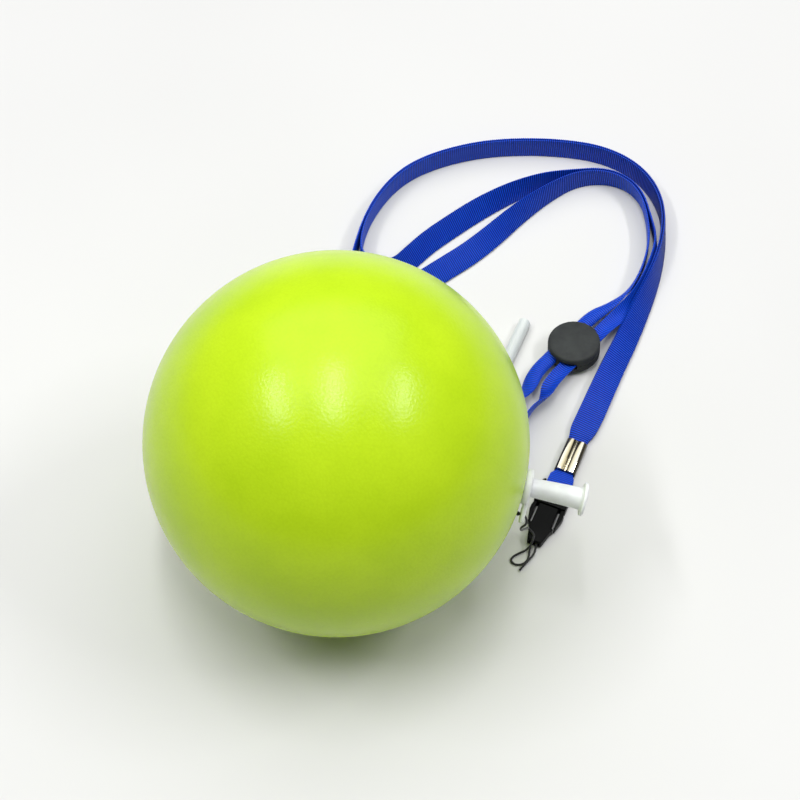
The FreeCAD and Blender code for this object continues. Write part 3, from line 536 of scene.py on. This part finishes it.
def valve(material):
    """Moulded seat: round flange, lug with its eyelet, neck inside the ball, open bore."""
    reach = 16.2 * MM
    half = 3.5 * MM
    flange = turned("valve_flange", [(7.1 * MM, -0.5 * MM), (7.5 * MM, 0.2 * MM), (7.5 * MM, 1.9 * MM),
                                     (7.3 * MM, 2.3 * MM), (6.9 * MM, 2.5 * MM), (5.6 * MM, 2.6 * MM)])
    points = [(half, -2 * MM), (-half, -2 * MM)]
    points += [(half * math.cos(a), -(reach - half) + half * math.sin(a))
               for a in (math.radians(180 + 180 * k / 16) for k in range(17))]
    lug = soften(plate("valve_lug", points, 1.2 * MM, 3.0 * MM), 0.35 * MM)
    neck = rod("valve_neck", (0, 0, -6 * MM), 5.8 * MM, 12 * MM)
    join(flange, lug, neck)
    bore = turned("valve_bore", [(3.6 * MM, -14 * MM), (4.04 * MM, 2.3 * MM), (4.3 * MM, 2.7 * MM),
                                 (4.5 * MM, 4 * MM)])
    eyelet = rod("valve_eyelet", (0, -12.5 * MM, 2 * MM), 1.2 * MM, 6 * MM)
    cut(flange, bore, eyelet)
    settle(flange, AT_VALVE, material, 40)
    flange.name = "valve_seat_moulding"
    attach(flange, "ball")
    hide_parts("valve_seat")


def plug(material):
    """Tapered stopper with a finger flange whose face is slightly domed."""
    face = 2.5
    head = face + 21.8
    rows = [(3.1, face - 13.0), (3.5, face - 12.7), (3.62, face - 12.2)]
    rows += [(4.0, face), (4.3, face + 9.5), (4.66, head - 1.1), (4.85, head - 0.55), (5.3, head - 0.12),
             (5.9, head)]
    rows += [(6.75, head + 0.05), (7.0, head + 0.35), (7.05, head + 0.8), (6.95, head + 1.25),
             (6.6, head + 1.55), (5.5, head + 1.72), (3.5, head + 1.86),
             (1.5, head + 1.93), (0.2, head + 1.95)]
    piece = turned("valve_plug_moulding", [(r * MM, z * MM) for r, z in rows])
    settle(piece, AT_VALVE, material, 50)
    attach(piece, "plug")
    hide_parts("valve_plug")


def straw(material):
    """Thin-walled tube with a bore right through and slightly rounded edges where it was cut."""
    length = 130 * MM
    outer = 3.0 * MM
    bpy.ops.object.select_all(action="DESELECT")
    bpy.ops.mesh.primitive_cylinder_add(vertices=64, radius=outer, depth=length, end_fill_type="NOTHING")
    piece = fresh("straw_tube")
    only(piece)
    bpy.ops.object.mode_set(mode="EDIT")
    bpy.ops.mesh.select_all(action="SELECT")
    bpy.ops.mesh.subdivide(number_cuts=1)
    bpy.ops.object.mode_set(mode="OBJECT")
    apply(piece, "SOLIDIFY", thickness=0.35 * MM, offset=-1.0)
    soften(piece, 0.08 * MM, 2, 50)
    uv = piece.data.uv_layers.active or piece.data.uv_layers.new(name="UVMap")
    for loop in piece.data.loops:
        spot = piece.data.vertices[loop.vertex_index].co
        uv.data[loop.index].uv = (spot.z, math.atan2(spot.y, spot.x) * outer)
    middle = STRAW_TIP - STRAW_OUT * (length / 2)
    side = STRAW_OUT.cross(UP)
    settle(piece, axes(middle, side, UP), material, 40)
    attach(piece, "straw")
    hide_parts("inflation_straw")


# ---------------------------------------------------------------- strap
STRAP_WIDTH = 12 * MM
STRAP_THICKNESS = 1.0 * MM
LAYER_GAP = 0.15 * MM
GATHERED = 0.72
FOLDED = 0.6

# Each row: x, y, z in metres, roll in degrees (0 flat, 90 on edge), width share.
OUTER_BEND = [
    (0.1063, 0.0403, 0.0023, 0, GATHERED),
    (0.1100, 0.0494, 0.0023, 0, GATHERED),
    (0.1120, 0.0536, 0.0024, 3, 0.99),
    (0.1154, 0.0600, 0.0025, 8, 1.04),
    (0.1216, 0.0740, 0.0029, 15, 1.03),
    (0.1291, 0.0904, 0.0038, 25, 1.0),
    (0.1362, 0.1046, 0.0046, 35, 1.0),
    (0.1436, 0.1210, 0.0054, 46, 1.0),
    (0.1506, 0.1368, 0.0061, 60, 1.0),
    (0.1563, 0.1522, 0.0063, 73, 1.0),
    (0.1600, 0.1688, 0.0063, 81, 1.0),
    (0.1605, 0.1854, 0.0063, 86, 1.0),
    (0.1559, 0.2012, 0.0062, 90, 1.0),
    (0.1462, 0.2141, 0.0062, 90, 1.0),
    (0.1310, 0.2233, 0.0062, 90, 1.0),
    (0.1106, 0.2274, 0.0062, 90, 1.0),
    (0.0890, 0.2282, 0.0062, 90, 1.0),
    (0.0680, 0.2262, 0.0062, 90, 1.0),
    (0.0476, 0.2200, 0.0062, 90, 1.0),
    (0.0324, 0.2118, 0.0062, 90, 1.0),
    (0.0222, 0.2018, 0.0062, 90, 1.0),
    (0.0141, 0.1892, 0.0062, 90, 1.0),
    (0.0085, 0.1758, 0.0062, 90, 1.0),
]
LEFT_RETURN = [
    (0.0044, 0.1626, 0.0062, 90, 1.0),
    (0.0020, 0.1510, 0.0062, 90, 1.0),
    (0.0036, 0.1400, 0.0062, 88, 1.0),
    (0.0116, 0.1312, 0.0063, 80, 1.0),
    (0.0240, 0.1306, 0.0059, 60, 1.0),
    (0.0360, 0.1388, 0.0050, 42, 1.0),
    (0.0494, 0.1498, 0.0040, 33, 1.0),
    (0.0616, 0.1592, 0.0040, 33, 1.0),
    (0.0738, 0.1702, 0.0049, 42, 1.0),
    (0.0872, 0.1837, 0.0059, 58, 1.0),
    (0.1024, 0.1964, 0.0063, 75, 1.0),
    (0.1174, 0.2060, 0.0062, 86, 1.0),
    (0.1318, 0.2076, 0.0062, 94, 1.0),
    (0.1432, 0.2029, 0.0062, 101, 1.0),
    (0.1502, 0.1931, 0.0062, 102, 1.0),
    (0.1524, 0.1790, 0.0062, 97, 1.0),
    (0.1519, 0.1634, 0.0062, 92, 1.0),
    (0.1480, 0.1484, 0.0063, 90, 0.95),
    (0.1406, 0.1342, 0.0063, 80, 0.85),
    (0.1302, 0.1254, 0.0063, 45, 0.65),
    (0.1213, 0.1194, 0.0064, 5, FOLDED),
    (0.1112, 0.1080, 0.0067, 5, FOLDED),
    (0.1010, 0.0964, 0.0064, 5, FOLDED),
    (0.0908, 0.0850, 0.0066, 5, FOLDED),
    (0.0866, 0.0744, 0.0062, 45, 0.75),
    (0.0794, 0.0652, 0.0062, 75, 0.9),
    (0.0732, 0.0560, 0.0062, 90, 1.0),
    (0.0702, 0.0464, 0.0062, 90, 1.0),
    (0.0702, 0.0376, 0.0062, 90, 1.0),
    (0.0728, 0.0316, 0.0062, 90, 1.0),
    (0.0768, 0.0300, 0.0062, 90, 1.0),
]
RIGHT_RETURN = [
    (0.0064, 0.1626, 0.0062, 90, 1.0),
    (0.0069, 0.1534, 0.0062, 88, 1.0),
    (0.0150, 0.1464, 0.0062, 72, 1.0),
    (0.0249, 0.1480, 0.0055, 54, 1.0),
    (0.0320, 0.1560, 0.0049, 46, 1.0),
    (0.0405, 0.1655, 0.0049, 46, 1.0),
    (0.0529, 0.1761, 0.0049, 46, 1.0),
    (0.0671, 0.1873, 0.0052, 50, 1.0),
    (0.0842, 0.1975, 0.0061, 66, 1.0),
    (0.1008, 0.2046, 0.0063, 80, 1.0),
    (0.1169, 0.2072, 0.0062, 86, 1.0),
    (0.1319, 0.2090, 0.0062, 94, 1.0),
    (0.1440, 0.2041, 0.0062, 101, 1.0),
    (0.1516, 0.1936, 0.0062, 102, 1.0),
    (0.1539, 0.1791, 0.0062, 98, 1.0),
    (0.1563, 0.1640, 0.0063, 100, 1.0),
    (0.1517, 0.1476, 0.0063, 106, 0.95),
    (0.1436, 0.1304, 0.0062, 115, 0.85),
    (0.1356, 0.1203, 0.0064, 150, 0.7),
    (0.1286, 0.1129, 0.0072, 185, FOLDED),
    (0.1185, 0.1015, 0.0075, 185, FOLDED),
    (0.1083, 0.0899, 0.0072, 185, FOLDED),
    (0.0982, 0.0785, 0.0074, 185, FOLDED),
    (0.0958, 0.0702, 0.0070, 240, 0.75),
    (0.0888, 0.0646, 0.0066, 260, 0.9),
    (0.0836, 0.0550, 0.0062, 270, 1.0),
    (0.0824, 0.0430, 0.0062, 270, 1.0),
    (0.0812, 0.0350, 0.0062, 270, 1.0),
    (0.0768, 0.0300, 0.0062, 270, 1.0),
]
TETHER = [
    (0.0754, -0.0227, 0.0609),
    (0.0790, -0.0234, 0.0604),
    (0.0792, -0.0262, 0.0576),
    (0.0770, -0.0266, 0.0560),
    (0.0770, -0.0254, 0.0516),
    (0.0782, -0.0216, 0.0442),
    (0.0804, -0.0140, 0.0316),
    (0.0824, -0.0068, 0.0184),
    (0.0835, -0.0020, 0.0106),
    (0.0842, -0.0002, 0.0067),
    (0.0869, -0.0030, 0.0062),
    (0.0862, -0.0056, 0.0062),
    (0.0850, -0.0079, 0.0046),
    (0.0830, -0.0090, 0.0019),
    (0.0804, -0.0096, 0.0009),
    (0.0774, -0.0112, 0.0006),
    (0.0759, -0.0132, 0.0006),
    (0.0776, -0.0154, 0.0006),
    (0.0808, -0.0156, 0.0006),
    (0.0834, -0.0139, 0.0006),
    (0.0845, -0.0108, 0.0006),
    (0.0848, -0.0078, 0.0016),
    (0.0857, -0.0053, 0.0028),
    (0.0868, -0.0027, 0.0028),
    (0.0880, -0.0016, 0.0028),
    (0.0889, -0.0032, 0.0028),
    (0.0878, -0.0060, 0.0028),
    (0.0873, -0.0088, 0.0018),
    (0.0862, -0.0114, 0.0019),
    (0.0842, -0.0138, 0.0020),
    (0.0822, -0.0159, 0.0017),
    (0.0799, -0.0184, 0.0008),
]


def nurbs(name, points, resolution):
    """Curve of one open NURBS spline that is drawn towards its points."""
    data = bpy.data.curves.new(name, "CURVE")
    data.dimensions = "3D"
    data.resolution_u = resolution
    spline = data.splines.new("NURBS")
    spline.points.add(len(points) - 1)
    for point, spot in zip(spline.points, points):
        point.co = (*spot, 1.0)
    spline.order_u = 3
    spline.use_endpoint_u = True
    curve = bpy.data.objects.new(name, data)
    bpy.context.scene.collection.objects.link(curve)
    return curve


def read_line(name, points, resolution=40):
    """Points along the NURBS spline of a route, close together."""
    curve = nurbs(name, points, resolution)
    bpy.context.view_layer.update()
    mesh = bpy.data.meshes.new_from_object(curve.evaluated_get(bpy.context.evaluated_depsgraph_get()))
    line = np.array([vertex.co[:] for vertex in mesh.vertices])
    bpy.data.meshes.remove(mesh)
    bpy.data.objects.remove(curve)
    return line


def strap_frame(travel, roll):
    """Normal of the strap's face and direction across it."""
    left = np.cross((0, 0, 1), travel)
    left = left / np.linalg.norm(left)
    upright = np.cross(travel, left)
    turn = math.radians(roll)
    across = left * math.cos(turn) + upright * math.sin(turn)
    return np.cross(travel, across), across


def layer_route(side):
    """The outer bend shifted by half a layer, so that the two halves lie face to face."""
    rise = side * (STRAP_THICKNESS + LAYER_GAP) / 2
    rows = []
    for k, (x, y, z, roll, share) in enumerate(OUTER_BEND):
        before = OUTER_BEND[max(k - 1, 0)]
        after = OUTER_BEND[min(k + 1, len(OUTER_BEND) - 1)]
        travel = np.array((after[0] - before[0], after[1] - before[1], 0.0))
        normal = strap_frame(travel / np.linalg.norm(travel), roll)[0]
        rows.append((*(np.array((x, y, z)) + normal * rise), roll, share))
    return rows


RING_STEP = RIB_MM * MM / 4
COLUMNS = 8


def ribbon(name, rows, material):
    """Webbing along a route, with its ribs, soft edges and a curl where it is narrowed."""
    line = read_line(name + "_line", [row[:3] for row in rows])
    extra = read_line(name + "_roll", [(row[3] / 1000, row[4], 0.0) for row in rows])
    steps = np.linalg.norm(np.diff(line, axis=0), axis=1)
    reach = np.concatenate(([0.0], np.cumsum(steps)))
    count = int(reach[-1] / RING_STEP)
    places = np.linspace(0.0, reach[-1], count + 1)
    spots = np.stack([np.interp(places, reach, line[:, k]) for k in range(3)], axis=1)
    rolls = np.interp(places, reach, extra[:, 0]) * 1000
    shares = np.interp(places, reach, extra[:, 1])
    travel = np.gradient(spots, axis=0)
    travel = travel / np.linalg.norm(travel, axis=1)[:, None]
    ribs = np.cos(2 * np.pi * places / (RIB_MM * MM))
    across_places = np.linspace(-1, 1, COLUMNS + 1)
    verts = []
    uvs = []
    for k, spot in enumerate(spots):
        normal, across = strap_frame(travel[k], rolls[k])
        half = STRAP_WIDTH / 2 * shares[k] * (1 + 0.012 * ribs[k])
        curl = (1 - shares[k]) * 3.2 * MM
        for side in (1, -1):
            for v in across_places * side:
                thick = STRAP_THICKNESS / 2 * (1 - 0.45 * abs(v) ** 6) + 0.08 * MM * ribs[k]
                camber = curl * (0.4 - v * v)
                verts.append(spot + across * (half * v) + normal * (camber + thick * side))
                uvs.append((places[k], v * STRAP_WIDTH / 2))
    ring = 2 * (COLUMNS + 1)
    faces = []
    for k in range(len(spots) - 1):
        for j in range(ring):
            a = k * ring + j
            b = k * ring + (j + 1) % ring
            faces.append((a, a + ring, b + ring, b))
    last = (len(spots) - 1) * ring
    faces.append(tuple(range(ring)))
    faces.append(tuple(last + j for j in reversed(range(ring))))
    mesh = bpy.data.meshes.new(name)
    mesh.from_pydata([tuple(v) for v in verts], [], faces)
    layer = mesh.uv_layers.new(name="UVMap")
    for loop in mesh.loops:
        layer.data[loop.index].uv = uvs[loop.vertex_index]
    piece = bpy.data.objects.new(name, mesh)
    bpy.context.scene.collection.objects.link(piece)
    only(piece)
    bpy.ops.object.mode_set(mode="EDIT")
    bpy.ops.mesh.select_all(action="SELECT")
    bpy.ops.mesh.normals_make_consistent(inside=False)
    bpy.ops.object.mode_set(mode="OBJECT")
    bpy.ops.object.shade_smooth_by_angle(angle=math.radians(60))
    mesh.materials.append(material)
    chosen = np.linspace(0, len(spots) - 1, len(spots) // 8).astype(int)
    return piece, [tuple(spots[k]) for k in chosen], float(reach[-1])


def strap_halves(material):
    """Both halves of the neck strap, as flat webbing that meets at the neck."""
    for node, name, rows in (("neck_strap_left", "webbing_left", layer_route(1) + LEFT_RETURN),
                             ("neck_strap_right", "webbing_right", layer_route(-1) + RIGHT_RETURN)):
        piece, path, length = ribbon(name, rows, material)
        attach(piece, "lanyard")
        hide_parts(node)


def end_loop(material):
    """Short strap loop from inside the crimp round the buckle's bar and back."""
    level = 2.8
    middle = 2.3
    bar = 31.2
    bend = 39.8
    start = 48.75
    radius = 1.85
    gap = 0.575
    neck = 34.5
    neck_height = 1.4
    step = 0.24
    gathered_half = 4.15
    spread_width = 1.6
    spread_start = 40.6
    spread_over = 4.0
    side = [(start, middle + gap), (bend, middle + gap), (neck, level + neck_height)]
    arc = [(bar - radius * math.sin(a), level + radius * math.cos(a))
           for a in (math.radians(180 * k / 12) for k in range(13))]
    back = [(neck, level - neck_height), (bend, middle - gap), (start, middle - gap)]
    rows = [(y, z) for y, z in side + arc + back]
    dense = []
    for (y0, z0), (y1, z1) in zip(rows, rows[1:]):
        count = max(2, int(math.hypot(y1 - y0, z1 - z0) / step))
        dense += [(y0 + (y1 - y0) * k / count, z0 + (z1 - z0) * k / count) for k in range(count)]
    dense.append(rows[-1])
    travelled = 0.0
    verts = []
    uvs = []
    for k, (y, z) in enumerate(dense):
        before = dense[max(k - 1, 0)]
        after = dense[min(k + 1, len(dense) - 1)]
        travelled += math.hypot(y - before[0], z - before[1])
        slope = math.hypot(after[0] - before[0], after[1] - before[1])
        normal = (-(after[1] - before[1]) / slope, (after[0] - before[0]) / slope)
        spread = min(1.0, max(0.0, (spread_start - y) / spread_over))
        half = gathered_half + spread_width * spread * spread * (3 - 2 * spread)
        rib = math.cos(2 * math.pi * travelled / RIB_MM)
        for face in (1, -1):
            for j in range(COLUMNS + 1):
                v = (-1 + 2 * j / COLUMNS) * face
                thick = 0.5 * (1 - 0.45 * abs(v) ** 6) + 0.08 * rib
                verts.append((half * v * (1 + 0.012 * rib), y + normal[0] * thick * face,
                              z + normal[1] * thick * face))
                uvs.append((travelled * MM, v * STRAP_WIDTH / 2))
    ring = 2 * (COLUMNS + 1)
    faces = [(k * ring + j, (k + 1) * ring + j, (k + 1) * ring + (j + 1) % ring, k * ring + (j + 1) % ring)
             for k in range(len(dense) - 1) for j in range(ring)]
    last = (len(dense) - 1) * ring
    faces += [tuple(range(ring)), tuple(last + j for j in reversed(range(ring)))]
    mesh = bpy.data.meshes.new("webbing_end_loop")
    mesh.from_pydata([tuple(c * MM for c in v) for v in verts], [], faces)
    layer = mesh.uv_layers.new(name="UVMap")
    for loop in mesh.loops:
        layer.data[loop.index].uv = uvs[loop.vertex_index]
    piece = bpy.data.objects.new("webbing_end_loop", mesh)
    bpy.context.scene.collection.objects.link(piece)
    only(piece)
    bpy.ops.object.mode_set(mode="EDIT")
    bpy.ops.mesh.select_all(action="SELECT")
    bpy.ops.mesh.normals_make_consistent(inside=False)
    bpy.ops.object.mode_set(mode="OBJECT")
    settle(piece, AT_BUCKLE, material, 60)
    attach(piece, "lanyard")
    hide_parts("strap_end_loop")


# ---------------------------------------------------------------- tether
def tether(material):
    """Thin cord from its knot through the lug, down to the floor and through the insert."""
    piece = nurbs("tether", TETHER, 12)
    piece.data.bevel_depth = 0.5 * MM
    piece.data.bevel_resolution = 4
    piece.data.use_fill_caps = True
    piece.data.materials.append(material)
    line = read_line("tether_line", TETHER)
    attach(piece, "ball")
    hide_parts("tether_cord")


def knot(material):
    """Overhand stopper knot squeezed between the ball and the lug."""
    middle = box_of("tether_knot")[2]
    bpy.ops.object.select_all(action="DESELECT")
    bpy.ops.mesh.primitive_torus_add(major_segments=36, minor_segments=14, major_radius=0.55 * MM,
                                     minor_radius=0.46 * MM)
    first = fresh("tether_knot_coil")
    only(first)
    for turn in ((60, 0, 20), (-60, 30, 0)):
        bpy.ops.object.select_all(action="DESELECT")
        bpy.ops.mesh.primitive_torus_add(major_segments=36, minor_segments=14, major_radius=0.5 * MM,
                                         minor_radius=0.46 * MM,
                                         rotation=tuple(math.radians(a) for a in turn))
        join(first, fresh("knot_turn"))
    settle(first, Matrix.Translation(middle), material, 60)
    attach(first, "ball")
    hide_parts("tether_knot")


# ---------------------------------------------------------------- adjuster
def adjuster(material):
    """Two low domed shells that meet at a parting line, with two strap channels between them."""
    radius = 12.6
    channel_size = (40 * MM, 8.0 * MM, 3.8 * MM)
    channel_place = 4.9
    rows = [(radius - 0.3, 0.05), (radius - 0.08, 0.12), (radius, 0.35), (radius, 2.9), (radius - 0.07, 3.6),
            (radius - 0.28, 4.15), (radius - 0.65, 4.5), (radius - 1.3, 4.75), (radius - 2.6, 5.0),
            (radius - 4.6, 5.22), (radius - 7.2, 5.4), (radius - 10.0, 5.49), (radius - 12.3, 5.5)]
    for node, name, side in (("slider_cap", "adjuster_cap", 1), ("slider_base", "adjuster_base", -1)):
        shell = turned(name, [(r * MM, z * MM) for r, z in rows])
        channels = [soften(block("channel", (0, y * MM, 0), channel_size), 0.7 * MM)
                    for y in (-channel_place, channel_place)]
        cut(shell, *channels)
        if side < 0:
            only(shell)
            shell.matrix_world = Matrix.Rotation(math.pi, 4, "X")
            bpy.ops.object.transform_apply(location=True, rotation=True, scale=True)
        settle(shell, AT_SLIDER, material, 40)
        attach(shell, "slider")
        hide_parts(node)


# ---------------------------------------------------------------- crimp and buckle
def crimp(material):
    """Folded sleeve with two rounded ridges and a pressed groove along its middle."""
    half = 5.02
    ridge = 2.42
    groove = 3.8
    crown = 1.4
    level = 2.3
    length = 17.7
    rear_end = 58
    room_across = 9.04
    room_height = 2.45
    outer = [(-3.6, 0.1), (-4.3, 0.35), (-4.75, 1.0), (-half, 2.2), (-half, 3.2)]
    for centre in (-ridge, ridge):
        outer += [(centre - (ridge - 0.12) * math.cos(a), groove + crown * math.sin(a) ** 0.8)
                  for a in (math.radians(180 * k / 14) for k in range(1, 14))]
    outer += [(half, 3.2), (half, 2.2), (4.75, 1.0), (4.3, 0.35), (3.6, 0.1)]
    piece = plate("crimp_sleeve", [(x * MM, z * MM) for x, z in outer], 0, length * MM)
    slot = block("crimp_slot", (0, level * MM, length / 2 * MM),
                 (room_across * MM, room_height * MM, 20 * MM))
    cut(piece, soften(slot, 0.3 * MM))
    soften(piece, 0.12 * MM, 2, 50)
    place = axes(AT_BUCKLE @ Vector((0, rear_end * MM, 0)), ALONG.cross(UP), UP)
    settle(piece, place, material, 50)
    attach(piece, "lanyard")
    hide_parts("strap_crimp")


def socket(material):
    """Rear half of the snap buckle: cavity at the mouth, strap bar at the rear."""
    half = 7.7
    level = 2.8
    bar_place = 31.2
    body = plate("buckle_socket_shell",
                 [(x * MM, y * MM) for x, y in ((-half, 20.0), (half, 20.0), (half, 31.6), (half - 1, 32.6),
                                                (-half + 1, 32.6), (-half, 31.6))], 0, 5.6 * MM)
    slot = block("slot", (0, 33.6 * MM, level * MM), (12 * MM, 10 * MM, 8 * MM))
    cut(body, slot)
    soften(body, 0.9 * MM, 4)
    cavity = block("cavity", (0, 23.2 * MM, level * MM), (13.4 * MM, 8.4 * MM, 3.2 * MM))
    cut(body, cavity)
    bar = rod("bar", (0, bar_place * MM, level * MM), 1.2 * MM, 13.2 * MM, "X")
    join(body, bar)
    settle(body, AT_BUCKLE, material, 35)
    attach(body, "lanyard")
    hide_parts("buckle_socket")


def insert(material):
    """Triangular front half with its tongue and a hollow tip with a pin."""
    right = [(3.3, 0.0), (5.0, 7.0), (6.1, 8.9), (4.7, 8.9), (4.7, 19.7)]
    corners = right + [(-x, y) for x, y in reversed(right)]
    body = plate("buckle_insert_shell", [(x * MM, y * MM) for x, y in corners], 0.3 * MM, 5.3 * MM)
    soften(body, 0.7 * MM, 4)
    tongue = soften(block("tongue", (0, 21.85 * MM, 2.8 * MM), (6 * MM, 9.9 * MM, 2.8 * MM)), 0.4 * MM)
    join(body, tongue)
    cut(body, block("pocket", (0, 1.8 * MM, 2.8 * MM), (5.2 * MM, 5.6 * MM, 2.0 * MM)))
    join(body, rod("pin", (0, 2.4 * MM, 2.8 * MM), 0.5 * MM, 2.6 * MM))
    settle(body, AT_BUCKLE, material, 35)
    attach(body, "ball")
    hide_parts("buckle_insert")


def release_arms(material):
    """Springy side arms beside the insert, with their prongs in the socket."""
    for side, word in ((1, "right"), (-1, "left")):
        grip = [(5.8, 9.2), (6.5, 9.2), (7.9, 15.2), (7.9, 17.5), (7.4, 19.7), (5.8, 19.7)]
        prong = [(5.9, 18.4), (6.5, 18.4), (6.5, 24.4), (6.0, 25.4), (5.3, 25.4), (5.3, 20.9), (5.9, 19.6)]
        arm = soften(plate("release_arm_%s_moulding" % word, [(side * x * MM, y * MM) for x, y in grip],
                           0.6 * MM, 5.0 * MM), 0.45 * MM)
        join(arm, soften(plate("prong", [(side * x * MM, y * MM) for x, y in prong],
                               1.4 * MM, 4.2 * MM), 0.2 * MM))
        settle(arm, AT_BUCKLE, material, 35)
        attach(arm, "release_arm_" + word)
        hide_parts("release_arm_" + word)


def floor(material):
    """Large pale floor at the ball's lowest point."""
    bpy.ops.object.select_all(action="DESELECT")
    bpy.ops.mesh.primitive_plane_add(size=12, location=(0, 0, 0))
    piece = fresh("floor")
    piece.data.materials.append(material)


# ---------------------------------------------------------------- the whole scene
camera()
lighting()
webbing = ribbed_polyester()
nylon = braided_nylon()
strap_halves(webbing)
tether(nylon)
knot(nylon)
end_loop(webbing)
ball(pebbled_pvc())
milky = milky_polyethylene()
valve(milky)
plug(milky)
straw(straw_polypropylene())
adjuster(moulded_black("matt_black_acetal", "#2c2e2f", "#363939", 0.6, 0.3, 0.2))
crimp(nickel_plate())
black = moulded_black("satin_black_acetal", "#030403", "#070807", 0.36, 0.3, 0.07)
socket(black)
insert(black)
release_arms(black)
floor(pale_floor())
